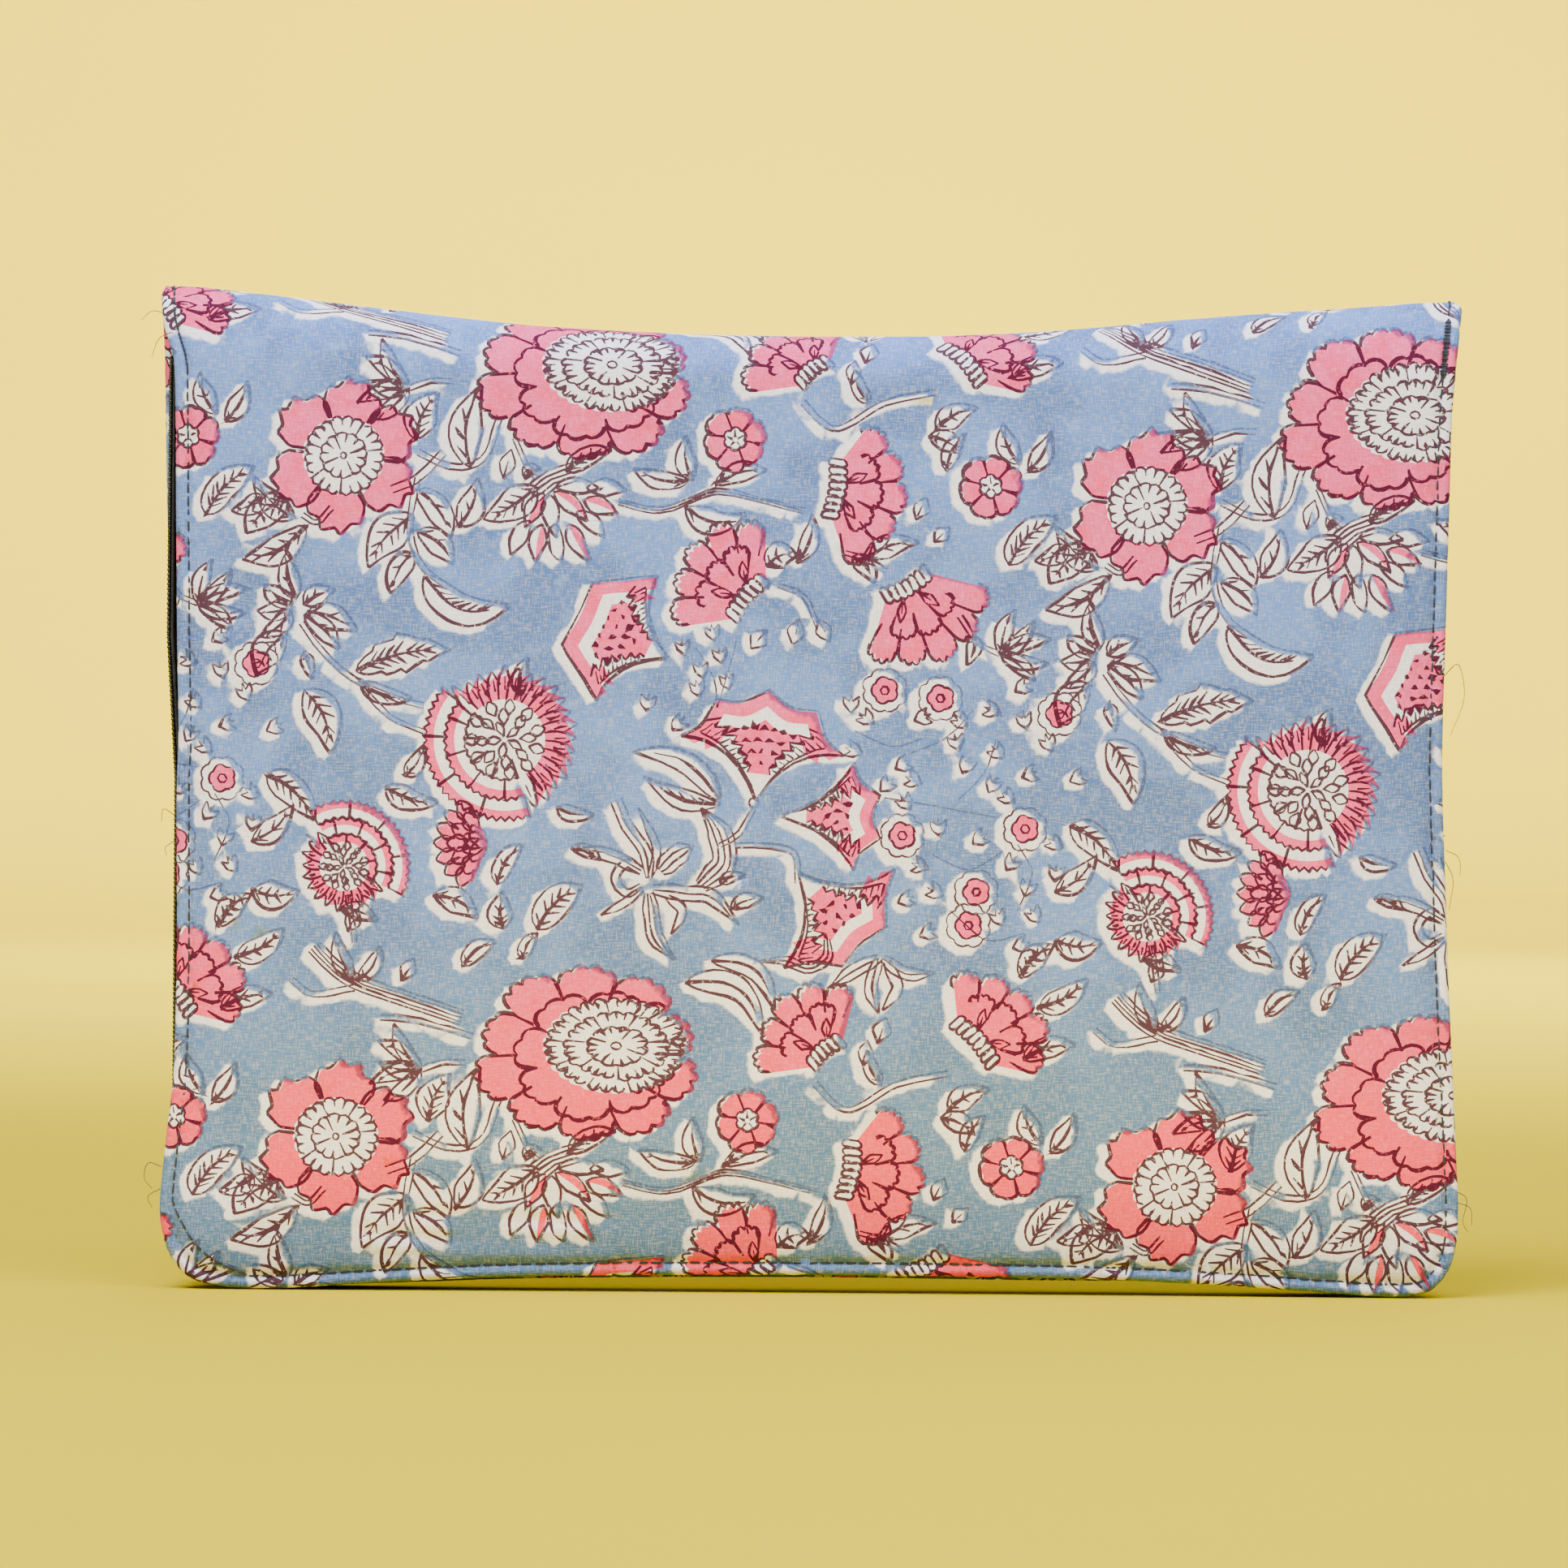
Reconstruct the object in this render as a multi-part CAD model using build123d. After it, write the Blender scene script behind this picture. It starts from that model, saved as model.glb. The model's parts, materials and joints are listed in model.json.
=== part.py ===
"""Padded cotton laptop sleeve that closes with a zipper round three sides.

The sleeve stands on its zipped lower edge, with the fold of the cloth along the top.
X runs across the width, Y through the thickness with the front panel at -Y, Z up.
The origin is the middle of the lower edge, on the surface that the sleeve stands on.
Each panel is a printed cover, a foam pad and a lining; the front panel swings on the fold.
"""

from build123d import *
import os
from math import cos, radians

os.makedirs("parts", exist_ok=True)

# Driving dimensions, in millimetres ----------------------------------------------------

# Outline of the panels, seen from the front.
LEFT_TOP = -176.2  # x of the left side at the fold
LEFT_LOW = -174.4  # x of the left side where it meets the lower corner
RIGHT_TOP = 174.4
RIGHT_LOW = 176.2
LOW_RADIUS_LEFT = 20.0
LOW_RADIUS_RIGHT = 14.0
BASE_FLAT = 34.0  # the lower edge stands on this length beside each corner
BASE_ARCH = 4.0  # between them it lifts this much
LEFT_WAIST_Z = 130.0
RIGHT_WAIST_Z = 145.0
RIGHT_WAIST = 4.6  # how far the right side is drawn in
LEFT_WAIST_FRONT = 6.0  # the front lip is drawn in more, so the zipper shows past it
LEFT_WAIST_BACK = 3.6

# Fold along the top.
HINGE_Z = 261.0  # straight line between the two ends of the zipper
FOLD_MIDDLE_Z = 258.3
FOLD_END_Z = 260.7
TIP_LEFT_Z = 270.5  # the sewn corners stand above the middle of the fold
TIP_RIGHT_Z = 268.8
TIP_LENGTH = 96.0
TIP_DEPTH = 8.5
TIP_TOP_WIDTH = 6.6  # level part at the very corner

# Thickness of the sleeve.
LIP_OUTER = 10.0  # distance of a lip's outer face from the middle plane
LIP_INNER = 7.0
LIP_WIDTH = 4.0  # flat edge outside the topstitching
CROWN = 15.5  # outer face of the panel at its fullest
SHOULDER = 13.5  # outer face where it starts to round over to the fold
SHOULDER_Z = 238.0
SHOULDER_MIDDLE = (9.6, 252.5)  # half-way point of that rounding: depth, height
CROWN_Z = 125.0
PANEL_GAP = 0.3  # clearance between the two panels on the middle plane
COVER_SKIN = 0.8
LINING_SKIN = 0.6
POCKET_TOP = 247.0

# Zipper.
ZIP_LEFT = -169.7  # middle of the tape
ZIP_RIGHT = 165.5
ZIP_BASE = 6.8
ZIP_RADIUS_LEFT = 14.0
ZIP_RADIUS_RIGHT = 10.0
ZIP_TOP = 246.7
TAPE_THICK = 0.6
COIL_INNER = 0.8  # a coil's near side, from the middle plane
COIL_OUTER = 3.0
COIL_THICK = 1.6
STOP_LENGTH = 2.5
STOP_PROUD = 0.2

# Slider and pull.
RUN_CLEARANCE = 0.35
SLIDER_LENGTH = 14.0
SLIDER_HALF_WIDTH = 4.75
PLATE_THICK = 1.2
FLANGE_WIDTH = 1.25
POST_WIDTH = 0.9
POST_LENGTH = 4.0
CROWN_STRAP_WIDTH = 2.4
CROWN_STRAP_THICK = 0.8
CROWN_STRAP_SPAN = 11.2
CROWN_STRAP_ROOM = 1.7  # free height under the strap
PULL_LENGTH = 25.0
PULL_WIDTH = 6.4
PULL_THICK = 1.0
PULL_WINDOW_WIDTH = 3.2
PULL_WINDOW_LENGTH = 6.4
PULL_EYE_RADIUS = 0.5
PULL_CORNER = 2.4
PULL_HOLE_RADIUS = 1.2
PULL_PIVOT_LIFT = 0.9  # pivot above the slider's upper plate

# Sewing.
STITCH_INSET = 3.3
STITCH_WIDTH = 0.6
STITCH_PROUD = 0.4
TACK_HEIGHT = 12.0
TACK_WIDTH = 2.0
TACK_PROUD = 0.6
TACK_BASE_Z = 248.0

REACH = 200.0  # longer than the half width, for cutting bodies
OVERRUN = 1.0  # how far cutting bodies pass the faces they cut


# Helpers -------------------------------------------------------------------------------


def slab(x_range, y_range, z_range):
    """A block between three pairs of limits."""
    size = [high - low for low, high in (x_range, y_range, z_range)]
    middle = [(high + low) / 2 for low, high in (x_range, y_range, z_range)]
    return Pos(*middle) * Box(*size)


def corner_middle(centre_x, centre_z, radius, side):
    """Half-way point of a lower corner's quarter circle; side is -1 left, +1 right."""
    reach = radius * cos(radians(45))
    return (centre_x + side * reach, centre_z - reach)


def fold_face(top_inset):
    """Everything below the fold's sagging line, as a face on XZ."""
    left = (LEFT_TOP, FOLD_END_Z - top_inset)
    right = (RIGHT_TOP, FOLD_END_Z - top_inset)
    wide_left = (-REACH, FOLD_END_Z - top_inset)
    wide_right = (REACH, FOLD_END_Z - top_inset)
    outline = [
        ThreePointArc(left, (0, FOLD_MIDDLE_Z - top_inset), right),
        Polyline(right, wide_right, (REACH, -OVERRUN), (-REACH, -OVERRUN), wide_left, left),
    ]
    return Plane.XZ * make_face(outline)


def panel_face(left_waist, inset=0.0, top_inset=0.0):
    """Outline of a panel as a face on XZ, drawn in by inset on its three zipped sides."""
    left_low = LEFT_LOW + inset
    right_low = RIGHT_LOW - inset
    radius_left = LOW_RADIUS_LEFT - inset
    radius_right = LOW_RADIUS_RIGHT - inset
    waist_left = ((LEFT_LOW + LEFT_TOP) / 2 + left_waist + inset, LEFT_WAIST_Z)
    waist_right = ((RIGHT_LOW + RIGHT_TOP) / 2 - RIGHT_WAIST - inset, RIGHT_WAIST_Z)
    low_left = (left_low + radius_left, inset)
    low_right = (right_low - radius_right, inset)
    side_left = (left_low, inset + radius_left)
    side_right = (right_low, inset + radius_right)
    top_left = (LEFT_TOP + inset, FOLD_END_Z)
    top_right = (RIGHT_TOP - inset, FOLD_END_Z)
    left_middle = corner_middle(low_left[0], side_left[1], radius_left, -1)
    right_middle = corner_middle(low_right[0], side_right[1], radius_right, 1)
    arch_left = (LEFT_LOW + LOW_RADIUS_LEFT + BASE_FLAT, inset)
    arch_right = (RIGHT_LOW - LOW_RADIUS_RIGHT - BASE_FLAT, inset)
    outline = [
        Line(low_left, arch_left),
        ThreePointArc(arch_left, (0, inset + BASE_ARCH), arch_right),
        Line(arch_right, low_right),
        ThreePointArc(low_right, right_middle, side_right),
        ThreePointArc(side_right, waist_right, top_right),
        Line(top_right, top_left),
        ThreePointArc(top_left, waist_left, side_left),
        ThreePointArc(side_left, left_middle, low_left),
    ]
    return (Plane.XZ * make_face(outline)) & fold_face(top_inset)


def toward_front(face, near, far):
    """Solid of an XZ face between two distances in front of the middle plane."""
    return Pos(0, -near, 0) * extrude(face, amount=far - near, dir=(0, -1, 0))


def crown_across(skin):
    """The panel's fullness seen from above, as a long vertical body."""
    edge = LIP_OUTER - skin
    line = Polyline(
        (-LIP_WIDTH - REACH, -edge),
        (-LIP_WIDTH - REACH, -PANEL_GAP / 2),
        (LIP_WIDTH + REACH, -PANEL_GAP / 2),
        (LIP_WIDTH + REACH, -edge),
    )
    bow = ThreePointArc(line @ 1, (0, -CROWN + skin), line @ 0)
    return extrude(make_face([line, bow]), amount=FOLD_END_Z + LIP_WIDTH)


def crown_along(skin):
    """The panel's fullness seen from the side, with the round shoulder below the fold."""
    foot = (-LIP_OUTER + skin, 0)
    shoulder = (-SHOULDER + skin, SHOULDER_Z)
    shoulder_middle = (-SHOULDER_MIDDLE[0] + skin, SHOULDER_MIDDLE[1] - skin)
    fold = (-PANEL_GAP / 2, FOLD_END_Z - skin)
    face = make_face(
        [
            Line((-PANEL_GAP / 2, 0), foot),
            ThreePointArc(foot, (-CROWN + skin, CROWN_Z), shoulder),
            ThreePointArc(shoulder, shoulder_middle, fold),
            Line(fold, (-PANEL_GAP / 2, 0)),
        ]
    )
    return Pos(-REACH, 0, 0) * extrude(Plane.YZ * face, amount=2 * REACH, dir=(1, 0, 0))


def panel_body(left_waist, skin):
    """Everything inside a cover of the given skin, from its outer face to the middle."""
    face = panel_face(left_waist, LIP_WIDTH + skin, skin)
    return toward_front(face, PANEL_GAP / 2, CROWN) & crown_across(skin) & crown_along(skin)


def pocket_room(skin):
    """The room for the laptop, grown by skin on its front face and its ceiling."""
    return slab((-REACH, REACH), (-LIP_INNER - skin, 0), (-OVERRUN, POCKET_TOP + skin))


# Panels, built at the front and mirrored for the back ------------------------------------


def cover(left_waist):
    """Printed cotton outer with its flat turned lip on the three zipped sides."""
    shell = panel_body(left_waist, 0) - panel_body(left_waist, COVER_SKIN) - pocket_room(0)
    lip = panel_face(left_waist) - panel_face(left_waist, LIP_WIDTH)
    return shell + toward_front(lip, LIP_INNER, LIP_OUTER)


def padding(left_waist):
    """Foam between the cover and the lining, full at the shoulder."""
    return panel_body(left_waist, COVER_SKIN) - pocket_room(LINING_SKIN)


def lining(left_waist):
    """Black inner sheet with the ceiling that turns to the fold."""
    return (panel_body(left_waist, COVER_SKIN) & pocket_room(LINING_SKIN)) - pocket_room(0)


def topstitch(left_waist):
    """The one line of thread round the lip."""
    outer = panel_face(left_waist, STITCH_INSET - STITCH_WIDTH / 2)
    inner = panel_face(left_waist, STITCH_INSET + STITCH_WIDTH / 2)
    line = toward_front(outer - inner, LIP_OUTER, LIP_OUTER + STITCH_PROUD)
    return line & slab((-REACH, REACH), (-REACH, 0), (-OVERRUN, TACK_BASE_Z - PANEL_GAP))


def corner_tack(side):
    """Dense back-and-forth stitches that close the end of the lip beside the fold."""
    edge = LEFT_TOP if side < 0 else RIGHT_TOP
    middle = edge - side * STITCH_INSET
    return slab(
        (middle - TACK_WIDTH / 2, middle + TACK_WIDTH / 2),
        (-LIP_OUTER - TACK_PROUD, -LIP_OUTER),
        (TACK_BASE_Z, TACK_BASE_Z + TACK_HEIGHT),
    )


def sewn_corner(side):
    """The corner of the fold, sewn shut above the end of the zipper."""
    edge = LEFT_TOP if side < 0 else RIGHT_TOP
    tip = TIP_LEFT_Z if side < 0 else TIP_RIGHT_Z
    foot = HINGE_Z + PANEL_GAP
    corner = (edge, foot)
    peak = (edge, tip)
    shoulder = (edge - side * TIP_TOP_WIDTH, tip)
    end = (edge - side * TIP_LENGTH, foot)
    face = make_face(Polyline(corner, peak, shoulder, end, close=True))
    body = toward_front(Plane.XZ * face, PANEL_GAP, TIP_DEPTH)
    return mirror(body, about=Plane.XZ)


# Zipper ----------------------------------------------------------------------------------


def zip_face(grow):
    """Inside of the zipper's U as a face on XZ, grown outwards from the tape's middle."""
    left = ZIP_LEFT - grow
    right = ZIP_RIGHT + grow
    base = ZIP_BASE - grow
    radius_left = ZIP_RADIUS_LEFT + grow
    radius_right = ZIP_RADIUS_RIGHT + grow
    top_left = (left, ZIP_TOP)
    top_right = (right, ZIP_TOP)
    side_left = (left, base + radius_left)
    side_right = (right, base + radius_right)
    low_left = (left + radius_left, base)
    low_right = (right - radius_right, base)
    left_middle = corner_middle(left + radius_left, base + radius_left, radius_left, -1)
    right_middle = corner_middle(right - radius_right, base + radius_right, radius_right, 1)
    outline = [
        Line(top_left, side_left),
        ThreePointArc(side_left, left_middle, low_left),
        Line(low_left, low_right),
        ThreePointArc(low_right, right_middle, side_right),
        Line(side_right, top_right),
        Line(top_right, top_left),
    ]
    return Plane.XZ * make_face(outline)


def zip_strip(inner, outer, near, far):
    """A strip that follows the zipper's U between two growths and two depths."""
    return toward_front(zip_face(outer) - zip_face(inner), near, far)


def zip_tape():
    """Woven tape from its sewn edge to the coil, along the whole zipper."""
    return zip_strip(-TAPE_THICK / 2, TAPE_THICK / 2, COIL_INNER, LIP_INNER)


def zip_coil():
    """The nylon coil on the outer face of its tape."""
    return zip_strip(TAPE_THICK / 2, TAPE_THICK / 2 + COIL_THICK, COIL_INNER, COIL_OUTER)


SLIDER_TOP = ZIP_TOP - STOP_LENGTH - PANEL_GAP
SLIDER_FOOT = SLIDER_TOP - SLIDER_LENGTH
STOP_FOOT = ZIP_TOP - STOP_LENGTH
COIL_FACE = ZIP_RIGHT + TAPE_THICK / 2 + COIL_THICK
UPPER_PLATE = COIL_FACE + RUN_CLEARANCE
LOWER_PLATE = ZIP_RIGHT - TAPE_THICK / 2 - RUN_CLEARANCE
SLIDER_FACE = UPPER_PLATE + PLATE_THICK
PIVOT_X = SLIDER_FACE + PULL_PIVOT_LIFT
PIVOT_Z = SLIDER_FOOT + SLIDER_LENGTH / 2


def stop(side, near, far):
    """A moulded stop on the coil's line at the upper end of one side."""
    inner = ZIP_LEFT - TAPE_THICK / 2 if side < 0 else ZIP_RIGHT + TAPE_THICK / 2
    outer = inner + side * (COIL_THICK + STOP_PROUD)
    return slab((min(inner, outer), max(inner, outer)), (near, far), (STOP_FOOT, ZIP_TOP))


def slider_body():
    """Two plates joined by the post at the leading end, with flanges that hold the coils."""
    length = (SLIDER_FOOT, SLIDER_TOP)
    width = (-SLIDER_HALF_WIDTH, SLIDER_HALF_WIDTH)
    over = slab((UPPER_PLATE, SLIDER_FACE), width, length)
    upper = fillet(over.edges() | Axis.X, PLATE_THICK)
    under = slab((LOWER_PLATE - PLATE_THICK, LOWER_PLATE), width, length)
    lower = fillet(under.edges() | Axis.X, PLATE_THICK)
    body = upper + lower
    flange_foot = ZIP_RIGHT + TAPE_THICK / 2 + RUN_CLEARANCE
    for side in (-1, 1):
        near = side * (SLIDER_HALF_WIDTH - FLANGE_WIDTH)
        far = side * SLIDER_HALF_WIDTH
        body += slab(
            (flange_foot, UPPER_PLATE),
            (min(near, far), max(near, far)),
            (SLIDER_FOOT + PLATE_THICK, SLIDER_TOP - PLATE_THICK),
        )
    return body + slab(
        (LOWER_PLATE, UPPER_PLATE),
        (-POST_WIDTH / 2, POST_WIDTH / 2),
        (SLIDER_TOP - POST_LENGTH, SLIDER_TOP),
    )


def slider_crown():
    """The strap on the slider's face that holds the pull."""
    half = CROWN_STRAP_WIDTH / 2
    low = PIVOT_Z - CROWN_STRAP_SPAN / 2
    high = PIVOT_Z + CROWN_STRAP_SPAN / 2
    top = SLIDER_FACE + CROWN_STRAP_ROOM + CROWN_STRAP_THICK
    block = slab((SLIDER_FACE, top), (-half, half), (low, high))
    room = slab(
        (SLIDER_FACE, top - CROWN_STRAP_THICK),
        (-half, half),
        (low + CROWN_STRAP_THICK, high - CROWN_STRAP_THICK),
    )
    outer_edges = (block.edges() | Axis.Y).group_by(Axis.X)[-1]
    return fillet(outer_edges, CROWN_STRAP_THICK) - room


def pull_tab():
    """Flat metal tab with a window; the bar across the window's top turns under the strap."""
    half = PULL_THICK / 2
    top = PIVOT_Z + PULL_EYE_RADIUS
    plate = slab(
        (PIVOT_X - half, PIVOT_X + half),
        (-PULL_WIDTH / 2, PULL_WIDTH / 2),
        (top - PULL_LENGTH, PIVOT_Z),
    )
    low_edges = (plate.edges() | Axis.X).group_by(Axis.Z)[0]
    plate = fillet(low_edges, PULL_CORNER)
    window = slab(
        (PIVOT_X - half, PIVOT_X + half),
        (-PULL_WINDOW_WIDTH / 2, PULL_WINDOW_WIDTH / 2),
        (PIVOT_Z - PULL_WINDOW_LENGTH, PIVOT_Z),
    )
    hang_hole = Pos(PIVOT_X, 0, top - PULL_LENGTH + PULL_CORNER + half) * Rot(0, 90, 0)
    bar = Pos(PIVOT_X, 0, PIVOT_Z) * Rot(90, 0, 0) * Cylinder(PULL_EYE_RADIUS, PULL_WIDTH)
    return plate - window - hang_hole * Cylinder(PULL_HOLE_RADIUS, PULL_THICK + OVERRUN) + bar


# Assembly --------------------------------------------------------------------------------


def to_back(shape):
    """The same piece on the back panel."""
    return mirror(shape, about=Plane.XZ)


def panel_pieces(left_waist):
    """The pieces that both panels have, at the front."""
    return {
        "cover": cover(left_waist),
        "padding": padding(left_waist),
        "lining": lining(left_waist),
        "topstitch": topstitch(left_waist),
        "corner_tack_left": corner_tack(-1),
        "corner_tack_right": corner_tack(1),
    }


nodes = {}
for name, shape in panel_pieces(LEFT_WAIST_FRONT).items():
    nodes[f"front_{name}"] = shape
for name, shape in panel_pieces(LEFT_WAIST_BACK).items():
    nodes[f"back_{name}"] = to_back(shape)

nodes["sewn_corner_left"] = sewn_corner(-1)
nodes["sewn_corner_right"] = sewn_corner(1)

# The front coil ends at the parked slider's mouth on the right, and at the stop on the left.
slider_room = slab((0, REACH), (-REACH, 0), (SLIDER_FOOT - PANEL_GAP, ZIP_TOP + OVERRUN))
stop_room = slab((-REACH, REACH), (-REACH, REACH), (STOP_FOOT, ZIP_TOP + OVERRUN))
nodes["front_zip_tape"] = zip_tape()
nodes["back_zip_tape"] = to_back(zip_tape())
nodes["front_zip_coil"] = zip_coil() - slider_room - stop_room
nodes["back_zip_coil"] = to_back(zip_coil()) - stop_room
nodes["front_top_stop"] = stop(1, -COIL_OUTER, -COIL_INNER)
nodes["back_top_stop"] = stop(1, COIL_INNER, COIL_OUTER)
nodes["bottom_stop"] = stop(-1, -COIL_OUTER, COIL_OUTER)
nodes["slider_body"] = slider_body()
nodes["slider_crown"] = slider_crown()
nodes["pull_tab"] = pull_tab()

for name, shape in nodes.items():
    export_step(shape, f"parts/{name}.step")
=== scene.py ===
"""Laptop sleeve: two foam-padded panels in block-printed cotton, folded over along the top, lined in black
and closed by a black coil zipper round the other three sides.

The print is cut as one repeating block of lines and fills, laid over the flat cloth, and carried by the
mesh of the cover itself. Lengths are in millimetres until a mesh is handed to Blender in metres.
"""

import cmath
import json
import logging
import math
from dataclasses import dataclass, field
from enum import Enum

import bmesh
import bpy
import numpy as np
from mathutils import Matrix, Vector, kdtree
from mathutils.geometry import delaunay_2d_cdt

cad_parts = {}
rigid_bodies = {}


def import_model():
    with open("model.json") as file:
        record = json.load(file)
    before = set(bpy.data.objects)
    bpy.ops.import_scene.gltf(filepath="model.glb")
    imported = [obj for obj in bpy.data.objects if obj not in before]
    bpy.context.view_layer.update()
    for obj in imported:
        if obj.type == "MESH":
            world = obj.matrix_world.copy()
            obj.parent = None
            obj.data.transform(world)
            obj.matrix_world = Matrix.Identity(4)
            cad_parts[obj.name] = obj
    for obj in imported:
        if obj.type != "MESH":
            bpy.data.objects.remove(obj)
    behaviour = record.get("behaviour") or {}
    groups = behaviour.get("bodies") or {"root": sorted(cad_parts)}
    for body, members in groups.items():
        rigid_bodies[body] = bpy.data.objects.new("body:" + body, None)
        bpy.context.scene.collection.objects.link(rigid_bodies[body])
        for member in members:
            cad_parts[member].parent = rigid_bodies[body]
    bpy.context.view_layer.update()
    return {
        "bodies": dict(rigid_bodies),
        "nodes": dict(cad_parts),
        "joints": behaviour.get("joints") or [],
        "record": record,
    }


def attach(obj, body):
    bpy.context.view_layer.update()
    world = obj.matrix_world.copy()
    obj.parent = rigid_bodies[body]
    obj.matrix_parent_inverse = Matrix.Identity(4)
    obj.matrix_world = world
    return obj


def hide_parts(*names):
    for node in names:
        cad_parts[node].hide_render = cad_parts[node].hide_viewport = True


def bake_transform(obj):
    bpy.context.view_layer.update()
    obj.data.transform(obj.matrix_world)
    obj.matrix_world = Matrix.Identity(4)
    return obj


logging.basicConfig(level=logging.INFO, format="%(levelname)s %(message)s")
log = logging.getLogger("sleeve")

# Lengths are in millimetres. A place on cloth or panel is a complex number: across, then up.
MM = 0.001

# Shape of a panel: where the fold's round begins, depths from the middle, and the rolled lip
SHOULDER_Z = 246.0
SHOULDER_DEPTH = 13.2
LIP_DEPTH = 10.0
ROLL = 1.5
LIP_TURN = 2.2
STITCH_INSET = 1.9
CROWN_DEPTH = 15.2
SAG_SIDE, SAG_LOW, SAG_HIGH = 170, 6, 260

# The printed cloth: the block's repeats, slip of the ground's block, and the mesh that carries them
REPEAT_ACROSS, REPEAT_DOWN = 216.1 - 11.9j, 4.7 - 183.2j
REPEAT_STRETCH = 0.045
GROUND_SHIFT = -1.8 - 1.4j
GRID = 3.1
LIP_BAND = 8.0
LIP_STEP = 1.7
PATCH_STEPS = 20
WELD = 400
WAVES = 7

STEP = 0.9
Points = np.ndarray | list | tuple


def run(points: Points, step: float = STEP) -> np.ndarray:
    """Draws a smooth curve through points.

    Args:
        points: complex points that it passes through.
        step: distance between the curve's own points.

    Returns:
        Complex points of the curve.
    """
    p = np.asarray(points, complex)
    if len(p) < 3:
        return np.linspace(p[0], p[-1], max(3, int(abs(p[-1] - p[0]) / step) + 1))
    e = np.concatenate(([2 * p[0] - p[1]], p, [2 * p[-1] - p[-2]]))
    parts = []
    for a, b, c, d in zip(e, e[1:], e[2:], e[3:]):
        t = np.linspace(0, 1, max(2, int(abs(c - b) / step) + 1), endpoint=False)
        bow, twist = 2 * a - 5 * b + 4 * c - d, 3 * b - a - 3 * c + d
        parts.append(b + 0.5 * ((c - a) * t + bow * t**2 + twist * t**3))
    return np.concatenate(parts + [p[-1:]])


def corners(p: np.ndarray, slack: float = 0.12) -> list[int]:
    """Picks the points that a curve can't do without.

    Args:
        p: complex points of the curve.
        slack: distance that the curve may move.

    Returns:
        Numbers of the points to keep.
    """
    keep, spans = {0, len(p) - 1}, [(0, len(p) - 1)]
    while spans:
        a, b = spans.pop()
        if b - a < 2:
            continue
        chord = p[b] - p[a]
        part = p[a + 1 : b] - p[a]
        off = np.abs((part * chord.conjugate()).imag) / abs(chord) if abs(chord) > 0.2 else np.abs(part)
        k = int(off.argmax())
        if off[k] > slack:
            keep.add(a + 1 + k)
            spans += [(a, a + 1 + k), (a + 1 + k, b)]
    return sorted(keep)


def turned(degrees: float) -> complex:
    """Gives the direction at an angle."""
    return cmath.exp(1j * math.radians(degrees))


def heading(p: np.ndarray) -> np.ndarray:
    """Gives the direction of a curve at each of its points."""
    way = np.gradient(p)
    return way / np.maximum(np.abs(way), 1e-9)


def arc(center: complex, rx: float, ry: float, start: float = 0, stop: float = 360, lobes: int = 0,
        depth: float = 0.1, turn: float = 0.0, count: int = 0) -> np.ndarray:
    """Draws an elliptical arc, scalloped outward if it has lobes.

    Args:
        center: middle of the ellipse.
        rx, ry: its two radii.
        start, stop: angles where it begins and ends, in degrees.
        lobes: number of scallops.
        depth: how far they stand out, as a share of the radius.
        turn: turn of the whole ellipse, in degrees.
        count: number of points; 0 takes as many as the lobes need.

    Returns:
        Complex points of the arc.
    """
    t = np.linspace(0, 1, count or max(7, lobes * 8 + 1))
    a = np.radians(start + (stop - start) * t)
    r = 1 + (depth * (np.abs(np.sin(np.pi * lobes * t)) ** 0.8 - 0.6) if lobes else 0 * t)
    return center + turned(turn) * (rx * np.cos(a) + 1j * ry * np.sin(a)) * r


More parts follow.
